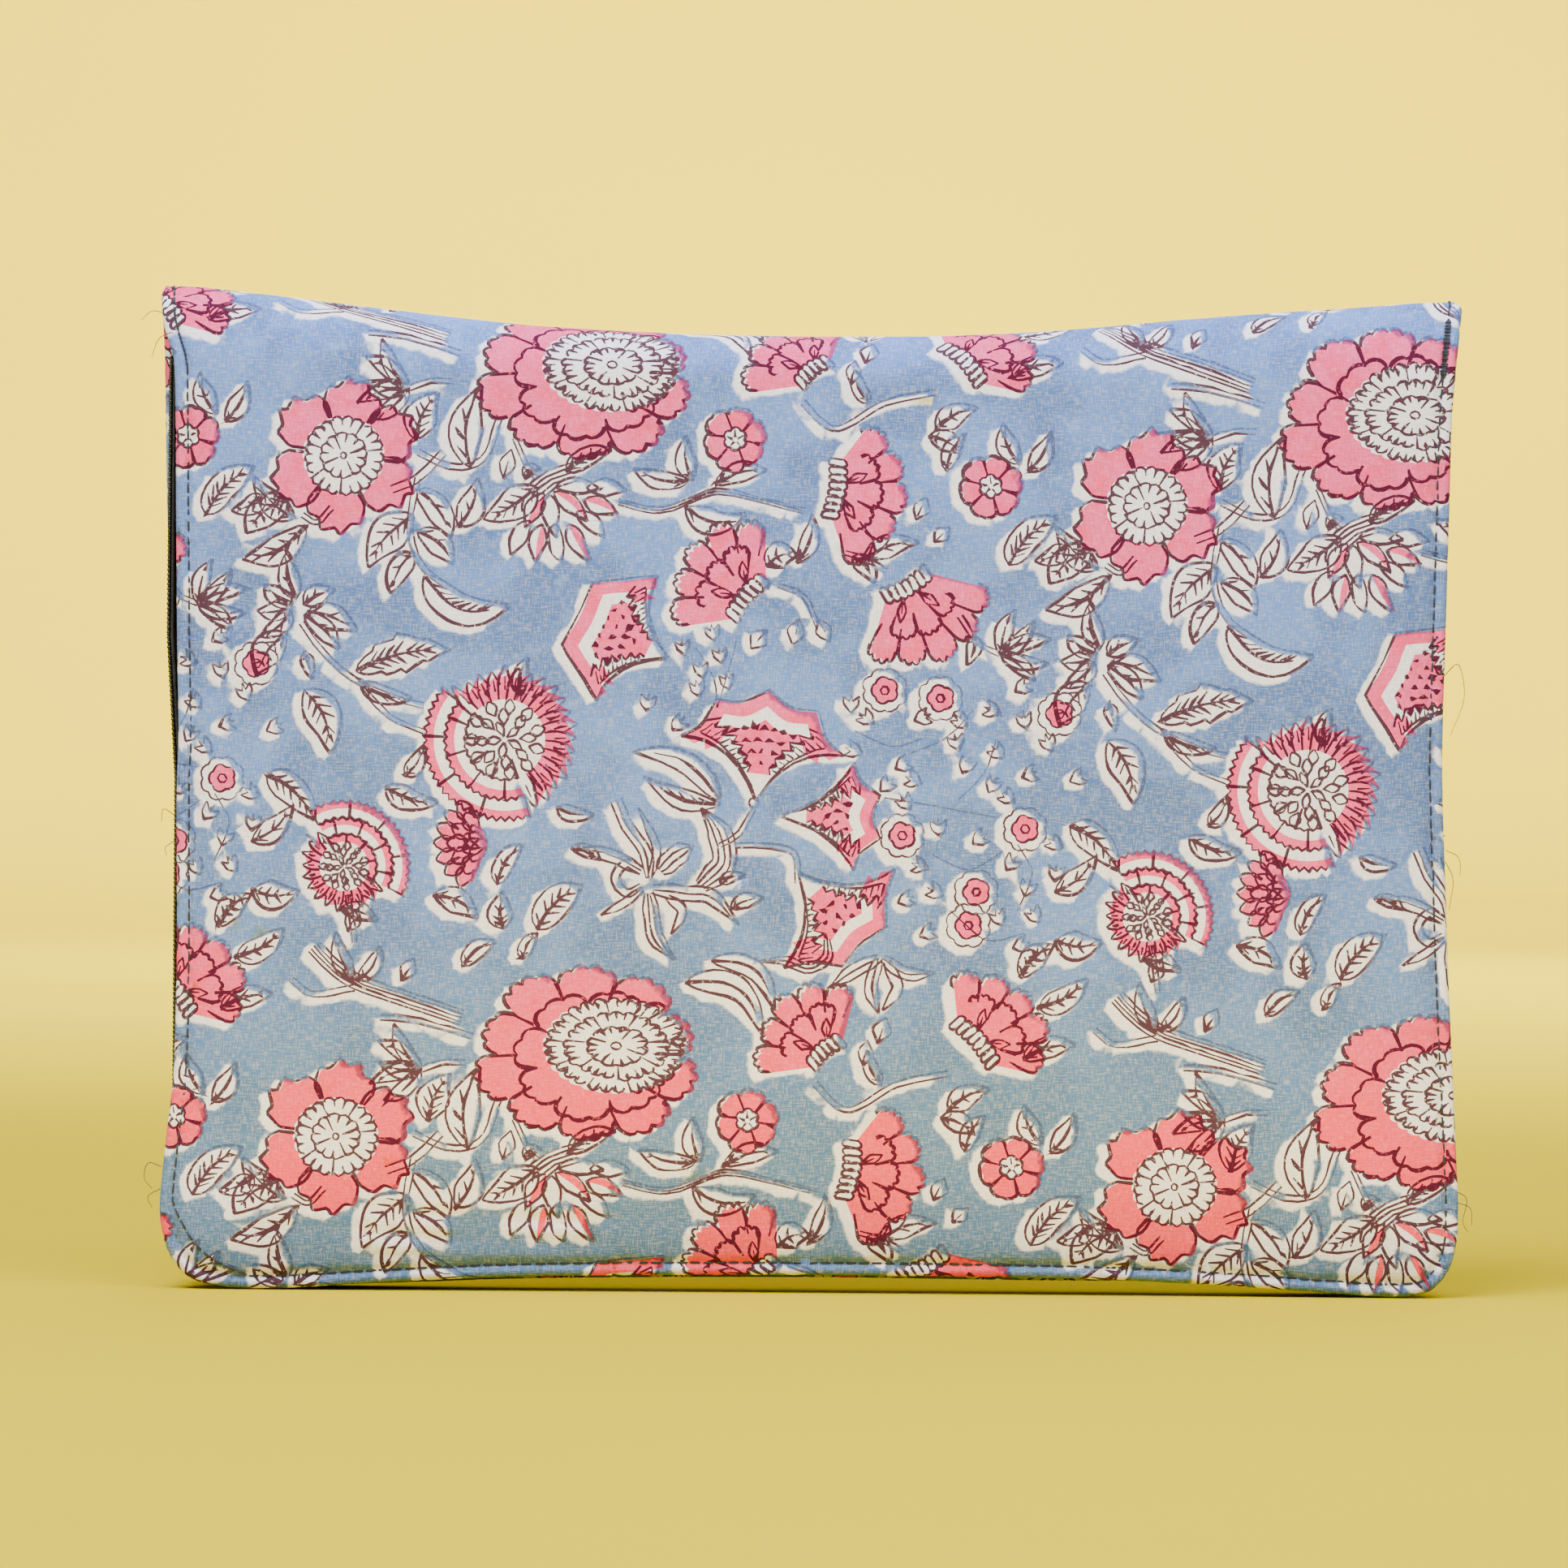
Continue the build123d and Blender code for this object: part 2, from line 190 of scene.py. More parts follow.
@dataclass
class Block:
    """One cut of the print: inked lines, colour fields, and the masses that hold back the ground."""

    seed: int = 11
    strokes: list = field(default_factory=list)
    fills: list = field(default_factory=list)
    masses: list = field(default_factory=list)

    def __post_init__(self) -> None:
        """Starts the hand's unsteadiness."""
        self.rng = np.random.default_rng(self.seed)

    def fill(self, outline: Points, on: bool = True, shift: complex = 0j) -> None:
        """Adds a colour field."""
        self.fills.append((np.asarray(outline, complex) + shift, on))

    def line(self, points: Points, width: float = 0.5, start: float = 0.9, end: float = 0.4,
             smooth: bool = True) -> None:
        """Cuts one line with an unsteady hand.

        Args:
            points: complex points.
            width: width of the line.
            start, end: width at its two ends, as a share.
            smooth: whether a curve is drawn through the points.
        """
        p = run(points) if smooth else np.asarray(points, complex)
        n = len(p)
        along = np.linspace(0, 1, n)
        wob = np.interp(along, np.linspace(0, 1, n // 3 + 2), self.rng.normal(0, 1, n // 3 + 2))
        half = 0.8 * width * np.interp(along, [0, 0.2, 0.7, 1], [start, 1, 1, end]) * (1 + 0.22 * wob)
        p = p + 1j * heading(p) * 0.09 * wob
        keep = corners(p)
        self.strokes.append((p[keep], np.maximum(half, 0.15)[keep]))

    def leaf(self, base: complex, tip: complex, wide: float, bend: float = 0.0, veins: int = 5, side: int = 0,
             teeth: int = 0, fill: float | None = None, rib: float = 0.85) -> None:
        """Draws a leaf with its rib and veins.

        Args:
            base, tip: its two ends.
            wide: half width.
            bend: how far it bows, as a share of its length.
            veins: number of veins on a side.
            side: 1 or -1 for veins on one side only.
            teeth: number of teeth along the edge.
            fill: share of the left half that is pink.
            rib: share of the length that the rib runs.
        """
        n = max(9, int(abs(tip - base) / 1.1))
        t = np.linspace(0, 1, n)
        axis = tip - base
        mid = base + axis * t + 1j * axis * bend * np.sin(np.pi * t)
        d = heading(mid)
        h = wide * np.sin(np.pi * t**0.8) ** 0.85
        h *= 1 + 0.09 * np.sin(7 * t + self.rng.uniform(0, 6, 1))
        if teeth:
            h *= 1.12 - 0.32 * ((t * teeth) % 1.0)
        left, right = mid + 1j * d * h, mid - 1j * d * h
        left[0] = right[0] = base
        left[-1] = right[-1] = tip
        self.line(left, 0.42, 0.8, 1.2, smooth=False)
        self.line(right, 0.55, 0.8, 1.3, smooth=False)
        if rib:
            self.line(mid[: max(3, int(n * rib))], 0.6, 1.4, 0.4, smooth=False)
        for k in range(veins):
            f = 0.14 + 0.62 * k / max(1, veins - 1)
            i, j = int(f * (n - 1)), min(n - 1, int((f + 0.14) * (n - 1)))
            for s in (side,) if side else (1, -1):
                out = mid[j] + 1j * d[j] * h[j] * 0.62 * s
                self.line([mid[i] + (out - mid[i]) * 0.1, out], 0.5, 1.1, 0.5)
        self.masses.append(np.concatenate([left, right[::-1]]))
        if fill is not None:
            self.fills.append((np.concatenate([mid, (mid + 1j * d * h * fill)[::-1]]), True))

    def strands(self, p: np.ndarray, wide: float | np.ndarray, lines: int, width: float, end: float) -> None:
        """Cuts lines side by side and holds the ground back under them.

        Args:
            p: complex points of the middle.
            wide: width of the whole.
            lines: number of lines.
            width: width of a line.
            end: width at a line's end, as a share.
        """
        d = heading(p)
        for k in range(lines):
            self.line(p + 1j * d * ((k / (lines - 1) - 0.5) * wide), width, 0.8, end, smooth=False)
        self.masses.append(np.concatenate([p + 1j * d * wide / 2, (p - 1j * d * wide / 2)[::-1]]))

    def stem(self, points: Points, wide: float = 1.5, lines: int = 2) -> None:
        """Draws a stem of even width."""
        self.strands(run(points), wide, lines, 0.45 * 0.85, 0.7)

    def ribbon(self, points: Points, wide: float = 4.0, lines: int = 4, tip: bool = True) -> None:
        """Draws a band of lines, drawn to a point at its end.

        Args:
            points: complex points that it runs through.
            wide: its width.
            lines: number of lines side by side.
            tip: whether it ends in a point.
        """
        p = run(points)
        t = np.linspace(0, 1, len(p))
        w = wide * (np.minimum(1, 0.55 + t * 2.5)) * (np.minimum(1, (1 - t) * 3.2) if tip else 1)
        self.strands(p, w, lines, 0.42, 1.0)

    def rosette(self, center: complex, rx: float, ry: float, rings: tuple, turn: float = 0.0,
                hatch: int = 3) -> np.ndarray:
        """Draws a white heart of scalloped petals round a small ring.

        Args:
            center: its middle.
            rx, ry: its two radii.
            rings: number of petals in each ring, from the inside.
            turn: its turn, in degrees.
            hatch: strokes in each petal.

        Returns:
            Its outline.
        """
        self.line(arc(center, rx * 0.07, ry * 0.08, count=9), 0.4, 1, 1)
        inner = 0.14
        for k, petals in enumerate(rings):
            outer = 0.14 + 0.86 * (k + 1) / len(rings)
            shift = self.rng.uniform(0, 360 / petals)
            for j in range(petals):
                a0 = shift + 360 * (j + 0.03) / petals + self.rng.uniform(-3, 3)
                a1 = shift + 360 * (j + 0.97) / petals
                o = outer * self.rng.uniform(0.94, 1.04)
                self.line(arc(center, rx * o, ry * o, a0, a1, 3, 0.09, turn), 0.48, 1.1, 1)
                side = arc(center, rx, ry, a0, a0 + 0.1, turn=turn, count=2)[0] - center
                self.line([center + side * o, center + side * (inner * 1.02 + 0.02)], 0.42, 1.2, 0.6)
                for h in range(hatch):
                    a = a0 + (a1 - a0) * (h + 1) / (hatch + 1)
                    way = arc(center, rx, ry, a, a + 0.1, turn=turn, count=2)[0] - center
                    foot = o - (o - inner) * self.rng.uniform(0.42, 0.62)
                    self.line([center + way * o * 0.98, center + way * foot], 0.52, 1.2, 0.4)
            inner = outer
        return arc(center, rx * 1.02, ry * 1.02, 0, 360, 3 * rings[-1], 0.05, turn)

    def petal_ring(self, center: complex, rx: float, ry: float, petals: int, inner: float, turn: float = 0.0,
                   start: float = 0.0, stop: float = 360.0, lobes: int = 3, width: float = 0.6) -> np.ndarray:
        """Draws a ring of broad scalloped petals parted by short lines.

        Args:
            center: its middle.
            rx, ry: its two radii.
            petals: number of petals.
            inner: where the parting lines end, as a share of the radius.
            turn: its turn, in degrees.
            start, stop: angles where it begins and ends, in degrees.
            lobes: scallops on a petal.
            width: width of the lines.

        Returns:
            Its outline.
        """
        outline = []
        for j in range(petals):
            a0 = start + (stop - start) * j / petals
            a1 = start + (stop - start) * (j + 1) / petals
            o = self.rng.uniform(0.94, 1.03)
            edge = arc(center, rx * o, ry * o, a0 + 1, a1 - 1, lobes, 0.05, turn)
            bulge = 0.93 + 0.13 * np.sin(np.linspace(0, np.pi, len(edge))) ** 0.6
            edge = center + (edge - center) * bulge
            self.line(edge, width, 1.1, 1.1, smooth=False)
            self.line([edge[0], center + (edge[0] - center) * inner], width * 0.9, 1.3, 0.7)
            outline.append(edge)
        return np.concatenate(outline)

    def peony(self, heart: complex, turn: float = 0.0) -> None:
        """Draws the big bloom: two rings of pink petals, set off centre, round a white heart.

        Args:
            heart: middle of the white heart.
            turn: its turn, in degrees.
        """
        rim = self.petal_ring(heart + complex(-7.5, -2.5), 27.5, 22.5, 10, 0.74, turn, lobes=4, width=0.65)
        self.petal_ring(heart + complex(-4.5, -2.5), 21.5, 16.5, 8, 0.86, turn + 12, lobes=3, width=0.6)
        self.fill(rim, shift=0.5 - 0.3j)
        self.masses.append(rim)
        self.fill(self.rosette(heart, 18.2, 12.4, (4, 7, 10), turn, 3), on=False)

    def round_flower(self, center: complex, size: float, petals: int, heart: float, rings: tuple) -> None:
        """Draws a pink flower of separate lobed petals with a white heart.

        Args:
            center: its middle.
            size: its radius.
            petals: number of petals.
            heart: radius of the heart, as a share.
            rings: petals in the rings of the heart.
        """
        side = 2.2 / petals
        rim = ((heart * 0.9, -0.75), (0.62, -1.0), (0.8, -0.95), (0.86, -0.55), (1.0, -0.4), (0.96, 0.05),
               (1.03, 0.3), (0.88, 0.6), (0.84, 0.95), (0.62, 1.0), (heart * 0.9, 0.75))
        petal = np.array([out + across * 1j * side for out, across in rim])
        for j in range(petals):
            way = turned(self.rng.uniform(-6, 6) + 82 + 360 * j / petals) * size
            edge = run(center + way * petal)
            self.line(edge, 0.55, 1.1, 1.1, smooth=False)
            self.fill(edge, shift=0.5 - 0.4j)
            self.masses.append(edge)
        self.masses.append(arc(center, size * heart, size * heart, count=24))
        self.fill(self.rosette(center, size * heart, size * heart * 0.95, rings, 0, 2), on=False)

    def small_flower(self, center: complex, size: float = 7.5) -> None:
        """Draws a pink flower of six petals with a white eye.

        Args:
            center: its middle.
            size: its radius.
        """
        rim = self.petal_ring(center, size, size, 6, 0.45, self.rng.uniform(0, 60), lobes=2)
        self.fills.append((center + (rim - center) * 0.96 + (0.4 - 0.3j), True))
        self.masses.append(rim)
        white = arc(center, size * 0.36, size * 0.36, 0, 360, 6, 0.2)
        self.fills.append((white, False))
        self.line(white, 0.45, 1, 1, smooth=False)
        for j in range(5):
            way = turned(72 * j + 20) * size
            self.line([center + way * 0.1, center + way * 0.3], 0.4, 1, 0.5)

    def tiny_flower(self, center: complex, size: float = 5.4) -> None:
        """Draws a white flower with a pink eye.

        Args:
            center: its middle.
            size: its radius.
        """
        rim = arc(center, size, size, 0, 360, 8, 0.13)[:-1]
        self.line(np.append(rim, rim[0]), 0.32, 1, 1, smooth=False)
        self.masses.append(rim)
        inner = arc(center, size * 0.6, size * 0.6, 0, 360, 5, 0.16)
        self.line(inner, 0.4, 1, 1, smooth=False)
        self.fills.append((inner, True))
        self.line(arc(center, size * 0.2, size * 0.2, count=7), 0.4, 1, 1, smooth=False)

    def carnation(self, heart: complex, turn: float, size: float, spread: float, comb: float) -> None:
        """Draws a fan of pink lobed petals behind a comb of short white fingers.

        Args:
            heart: middle of the comb.
            turn: way that it opens, in degrees.
            size: length of the petals.
            spread: half angle of the fan, in degrees.
            comb: width of the comb.
        """
        axis = turned(turn)
        rim = self.petal_ring(heart, size, size, 5, 0.66, turn, -spread, spread, 4, 0.55)
        self.petal_ring(heart, size * 0.66, size * 0.66, 3, 0.62, turn, -spread * 0.8, spread * 0.8, 4, 0.55)
        for a in (-0.62, 0.45):
            way = axis * turned(a * spread) * size
            self.bud(heart + way * 0.2, heart + way * 0.5, 1.2)
            self.masses.pop()
        ends = heart + 1j * axis * comb / 2, heart - 1j * axis * comb / 2
        body = np.concatenate([[ends[1]], rim, [ends[0]]])
        self.fills.append((heart + (body - heart) * 0.97 + (0.5 - 0.4j), True))
        self.masses.append(body)
        fingers = max(4, round(comb / 2.0))
        t = np.linspace(-0.5, 0.5, fingers * 4 + 1)
        bump = np.abs(np.sin(np.pi * (t + 0.5) * fingers)) ** 0.6
        bow = 1.2 * np.cos(np.pi * t)
        front = heart + 1j * axis * comb * t + axis * (1.4 + bow + 0.7 * bump)
        back = heart + 1j * axis * comb * t - axis * (2.0 - bow + 0.7 * bump)
        outline = np.concatenate([front, back[::-1], front[:1]])
        self.line(outline, 0.55, 1, 1, smooth=False)
        self.fills.append((outline[:-1], False))
        self.masses.append(outline[:-1])
        for k in range(1, fingers):
            foot, top = back[4 * k], front[4 * k]
            end = foot + (top - foot) * self.rng.uniform(0.75, 0.95)
            self.line([foot + (top - foot) * 0.1, end], 0.62, 1, 0.7)

    def parasol(self, base: complex, tip: complex, spread: float, ribs: int, rows: int, lean: float) -> None:
        """Draws a parasol: pink and white bands, a dotted field and a toothed fringe down both sides.

        Args:
            base, tip: its two ends.
            spread: half angle, in degrees.
            ribs: scallops along the rim.
            rows: rows of dots.
            lean: how much shorter its sides are than its middle.
        """
        axis = tip - base
        size, turn = abs(axis), math.degrees(cmath.phase(axis))
        t = np.linspace(0, 1, ribs * 7 + 1)
        dip = (1 - 0.1 * np.sin(np.pi * ((t * ribs) % 1.0))) * (1 - lean * (2 * t - 1) ** 2)

        def band(k: float, a: float) -> np.ndarray:
            """Gives a line across, at a share of the length and a half angle."""
            return base + size * k * dip * np.exp(1j * np.radians(turn - a + 2 * a * t))

        def side(s: int, r: float, share: float = 1.0, slip: float = 0.0) -> complex:
            """Gives a place down one side, at a share of the length and of the half angle."""
            a = spread * (0.5 + 0.5 * r**1.6) * share + slip
            return base + size * (1 - lean) * r * turned(turn + s * a)

        rim = band(1, spread)
        self.line(rim, 0.5, 1.2, 1.2, smooth=False)
        steps = np.linspace(1, 0.02, 9)
        for s in (-1, 1):
            self.line([side(s, r) for r in steps], 0.55, 1, 1)
            self.line([side(s, r, 0.9) for r in steps[1:]], 0.4, 0.8, 0.8)
        sides = [side(1, r) for r in steps], [side(-1, r) for r in steps[::-1]]
        self.masses.append(np.concatenate([rim, *sides]))
        self.fill(np.concatenate([band(0.985, spread - 1), band(0.85, spread - 2)[::-1]]))
        edges = []
        for s in (-1, 1):
            reaches = np.linspace(0.96, 0.3, 13)
            teeth = [side(s, r, 0.72, -8.0 if k % 2 else 0.0) for k, r in enumerate(reaches)]
            self.line(teeth, 0.42, 1, 1, smooth=False)
            for k in range(1, 12):
                out = side(s, reaches[k], 0.92)
                self.line([out * 0.9 + teeth[k] * 0.1, out * 0.35 + teeth[k] * 0.65], 0.4, 1, 0.5)
            edges.append(teeth)
        self.fill(np.concatenate([band(0.73, spread - 4), edges[1], edges[0][::-1]]))
        for j in range(rows):
            r, a = size * (0.66 - 0.105 * j), spread * (0.56 - 0.07 * j)
            for q in np.radians(turn + np.linspace(-a, a, max(2, int(2 * math.radians(a) * r / 2.7) + 1))):
                dot = base + r * cmath.exp(1j * q)
                self.line([dot - 0.3 * 0.9, dot + 0.3 * 0.9], 0.9, 0.9, 0.9)

    def dahlia(self, center: complex, size: float, face: float, ring: float, petals: int) -> None:
        """Draws a striped bloom: toothed tiles on one side, a ring of narrow petals on the other.

        Args:
            center: its middle.
            size: radius of the tiled side.
            face: way that the tiled side looks, in degrees.
            ring: radius of the petals, as a share.
            petals: number of petals.
        """
        pitch = 0.25
        for k in range(3):
            r = 1 - pitch * k
            n = int(2.6 * size * r / 2.3)
            ang = np.radians(face - 74 + 148 * np.linspace(0, 1, 2 * n + 1))
            edge = center + size * r * np.where(np.arange(2 * n + 1) % 2, 0.95, 1.0) * np.exp(1j * ang)
            self.line(edge, 0.5, 1.1, 1.1, smooth=False)
            self.fill(np.concatenate([edge, center + size * (r - 0.13) * np.exp(1j * ang[::-1])]))
            if k == 0:
                self.masses.append(np.append(edge, center))
            for a in np.radians(face - 74 + 37 * np.arange(5) + (18 if k == 1 else 0)):
                self.line(center + size * cmath.exp(1j * a) * np.array([r, r - pitch]), 0.55, 1.1, 0.8)
        outline = []
        for j in range(petals):
            way = turned(face + 180 - 100 + 200 * j / (petals - 1))
            tip = center + way * size * ring * self.rng.uniform(0.95, 1.04)
            root, w = center + way * size * ring * 0.55, 1j * way * size * ring * 0.085
            middle = tip * 0.5 + root * 0.5
            self.line([root + w, middle + w * 1.1, tip, middle - w * 1.0], 0.45, 0.8, 0.8)
            self.line([root * 0.7 + tip * 0.3, root * 0.3 + tip * 0.7], 0.4, 1, 0.5)
            outline += [root * 0.35 + tip * 0.65 + w, tip]
        half = np.array(outline)
        self.fill(np.concatenate([half, (center + (half - center) * 0.5)[::-1]]), shift=0.3)
        self.masses.append(np.append(half, center))
        disc = arc(center, size * ring * 0.56, size * ring * 0.56, count=30)
        self.masses.append(disc)
        self.fill(disc, on=False)
        for reach, many in ((0.2, 5), (0.36, 8), (0.5, 11)):
            for j in range(many):
                way = cmath.exp(1j * 2 * math.pi * (j + 3 * reach) / many) * size * ring
                foot, top = center + way * (reach - 0.15), center + way * (reach + 0.07)
                middle, w = (foot + top) / 2, 0.1j * way * reach**0.4
                self.line([foot, middle + w, top, middle - w, foot], 0.42, 1, 1)

    def aster(self, base: complex, tip: complex) -> None:
        """Draws a small bloom of pointed pink petals lying over one another.

        Args:
            base, tip: its two ends.
        """
        axis = tip - base
        outline = []
        for row, (near, far, many) in enumerate(((0.55, 1.0, 7), (0.3, 0.72, 5), (0.0, 0.42, 4))):
            for j in range(many):
                way = axis * turned(-62 + 124 * j / (many - 1))
                foot, top, w = base + way * near, base + way * far, 1j * way * 0.17
                middle = (foot + top) / 2
                self.line([foot + w * 0.6, middle + w, top, middle - w, foot - w * 0.6], 0.45, 0.9, 0.9)
                if row == 0:
                    outline += [middle - w * 1.1, top, middle + w * 1.1]
        whole = np.array([base - axis * 0.1] + outline)
        self.fill(whole, shift=0.3 - 0.2j)
        self.masses.append(whole)

    def lotus(self, base: complex, tip: complex, spread: float, petals: int) -> None:
        """Draws pointed petals fanned over one another, streaked pink.

        Args:
            base, tip: its two ends.
            spread: half angle of the fan, in degrees.
            petals: petals in the outer row.
        """
        axis = tip - base
        for layer, (reach, many) in enumerate(((1.0, petals), (0.62, petals - 3))):
            for j in range(many):
                a = -spread + 2 * spread * j / (many - 1)
                way = axis * reach * turned(a) * self.rng.uniform(0.9, 1.05)
                root = base + way * (0.5 if layer == 0 else 0.15)
                bend, streak = 0.05 * (1 if a > 0 else -1), 0.8 if (j + layer) % 2 else None
                self.leaf(root, base + way, abs(axis) * 0.1, bend, 0, fill=streak, rib=0)

    def bud(self, base: complex, tip: complex, wide: float = 1.9) -> None:
        """Draws a closed bud.

        Args:
            base, tip: its two ends.
            wide: half width.
        """
        axis = tip - base
        for s in (-1, 1):
            self.line([base, base + axis * 0.5 + 1j * axis / abs(axis) * wide * s, tip], 0.42, 1.3, 0.9)
        self.line([base, base + axis * 0.6], 0.4, 1.2, 0.4)
        n = 1j * axis / abs(axis) * wide
        self.masses.append(np.array([base, base + axis * 0.5 + n, tip, base + axis * 0.5 - n]))

    def tulip(self, base: complex, turn: float, size: float) -> None:
        """Draws a little three-pointed bud.

        Args:
            base: its foot.
            turn: way that it points, in degrees.
            size: its length.
        """
        way = turned(turn) * size
        crown = (0.45 - 0.42j, 1.0 - 0.5j, 0.72 - 0.1j, 1.1, 0.72 + 0.12j, 1.0 + 0.5j, 0.45 + 0.42j)
        p = [base] + [base + way * q for q in crown]
        self.line([p[0], p[1], p[2]], 0.5, 1.3, 0.8)
        self.line(p[2:7], 0.45, 0.9, 0.9, smooth=False)
        self.line([p[6], p[7], p[0]], 0.42, 0.7, 1.2)
        self.masses.append(np.array(p))

    def lily(self, base: complex, tip: complex, petals: int, wide: float, spread: float) -> None:
        """Draws narrow petals fanned from one foot.

        Args:
            base, tip: its two ends.
            petals: number of petals.
            wide: half width of a petal.
            spread: half angle of the fan, in degrees.
        """
        axis = tip - base
        for j in range(petals):
            a = -spread + 2 * spread * j / max(1, petals - 1)
            end = base + axis * turned(a) * self.rng.uniform(0.85, 1.1)
            self.leaf(base, end, wide, 0.08 * (-1) ** j, 2, 1, rib=0.7)

    def trail(self, points: Points) -> None:
        """Draws a thin trailing stalk."""
        self.line(points, 0.3, 0.8, 0.5)


@dataclass(frozen=True)
class FloralDrawing:
    """Sets out the motifs on the block; places and sizes are millimetres of cloth."""

    block: Block

    def make(self) -> None:
        """Draws every group of motifs, in the order in which they were cut."""
        self.peony_sprig()
        self.lotus_cup()
        self.lily_spray()
        self.parasols()
        self.ribbon_knot()
        self.striped_blooms()
        self.half_flowers()
        self.upper_stems()
        self.budding_branch()
        self.feathered_leaves()
        self.meadow()

    def peony_sprig(self) -> None:
        """Draws the peony and what grows from it."""
        b = self.block
        b.peony(-54+250j, 0)
        b.round_flower(-126+225j, 20.5, 6, 0.52, (4, 7))
        b.leaf(-92+222j, -89+244j, 4.2, .12, 4, 1)
        b.bud(-83+219j, -81+227j, 2.2)
        b.leaf(-95+206j, -90+219j, 3.4, -.1, 3, 1)
        for stem in (
            ([-106+226j, -96+222j, -88+225j, -84+236j], 1.6), ([-113+216j, -106+219j, -99+226j], 2.0),
            ([-106+219j, -108+206j, -105+196j, -98+190j], 1.5),
        ):
            b.stem(*stem)
        for leaf in (
            (-107+209j, -119+195j, 4.6, -.1, 5, 0), (-107+199j, -113+188j, 3.2, -.1, 3, -1),
            (-106+216j, -97+203j, 3.6, .1, 3, 1), (-106+205j, -96+196j, 3.2, .1, 3, 1),
            (-104+193j, -81+185j, 4.6, -.22, 8, 1), (-147+214j, -156+210j, 2.6, .1, 3),
            (-141+213j, -152+204j, 4.4, -.1, 4), (-139+208j, -150+219j, 3.2, .1, 3),
            (-136+206j, -153+197j, 3.8, .12, 4),
        ):
            b.leaf(*leaf)
        b.stem([-137+209j, -133+207j, -129+211j], 1.3)

    def lotus_cup(self) -> None:
        """Draws the lotus with its cup and leaves."""
        b = self.block
        b.lotus(-71+217j, -60+198j, 58, 7)
        b.stem([-75+215j, -70+219j, -64+221j], 5.0, 5)
        for leaf in (
            (-66+221j, -54+227j, 2.8, .1, 4), (-74+217j, -88+208j, 4.2, .05, 5),
            (-77+219j, -73+222j, 1.6, .3, 0),
        ):
            b.leaf(*leaf)
        b.stem([-80+230j, -77+223j, -74+219j], 1.2)

    def lily_spray(self) -> None:
        """Draws the spray of leaves round one hub and the toothed leaf under it."""
        b = self.block
        hub = -138+184j
        for tip, wide in ((-141+199j, 3.0), (-147+190j, 2.8), (-149+183j, 2.4), (-148+176j, 2.6),
                          (-128+189j, 2.8), (-122+178j, 3.4), (-127+173j, 2.8)):
            b.leaf(hub + (tip - hub) * 0.16, tip, wide, .07, 3, 1)
        b.leaf(-141+177j, -149+166j, 4.2, -.1, 4)
        b.leaf(-136+172j, -134+165j, 1.8, 0, 1)
        b.stem([-137+180j, -131+172j, -123+165j, -112+160j, -104+158j], 1.4)
        b.leaf(-122+167j, -97+173j, 4.6, .08, 7, 0, 4)
        b.leaf(-121+164j, -107+160j, 2.6, -.1, 3, -1)

    def parasols(self) -> None:
        """Draws the four parasols and the stems that join them."""
        b = self.block
        for parasol in (
            (-38+171j, -65+184j, 56, 3, 4, .25), (-14.5+133j, -11+163j, 56, 4, 4, .12),
            (-8+129j, 20+129j, 36, 3, 4, .12), (-3+114j, 16+93j, 50, 3, 3, .08),
        ):
            b.parasol(*parasol)
        b.line(arc(-15+132.5j, 1.3, 1.3, count=9), .45, 1, 1)
        b.stem([-15+131j, -19+124j, -24+121j], 1.3)
        b.leaf(-24+133j, -47+146j, 3.2, -.16, 0)
        b.leaf(-24+132j, -44+139j, 2.6, .1, 5, -1)
        b.stem([-20+121j, -12+121j, -4+119j, -3+111j], 1.4, 2)

    def ribbon_knot(self) -> None:
        """Draws the knotted ribbons and the leaves beside them."""
        b = self.block
        for ribbon in (
            ([-43+112j, -44+119j, -49+126j, -52+133j], 3.2, 3, False),
            ([-45+114j, -53+118j, -62+120j], 3.4, 3),
            ([-45+110j, -49+108j, -52+112j, -49+116j, -45+114j], 2.2, 2, False),
            ([-29+110j, -23+116j, -24+124j, -29+131j], 6.5, 5), ([-40+114j, -36+118j, -31+121j], 5.5, 4),
            ([-42+109j, -33+108j, -26+107j, -19+100j], 4.0, 3),
            ([-43+108j, -42+101j, -41+96j, -36+90j], 4.2, 4), ([-38+107j, -34+103j, -37+97j], 2.4, 2),
            ([-45+109j, -50+105j, -56+102j], 2.2, 2), ([-43+112j, -41+120j, -46+131j], 2.0, 2),
        ):
            b.ribbon(*ribbon)
        for leaf in (
            (-24+111j, -17+113j, 1.6, .1, 1), (-21+104j, -12+107j, 2.0, .1, 1),
            (-73+98j, -61+110j, 4.6, .1, 5), (-68+131j, -58+129j, 2.2, -.1, 0),
        ):
            b.leaf(*leaf)

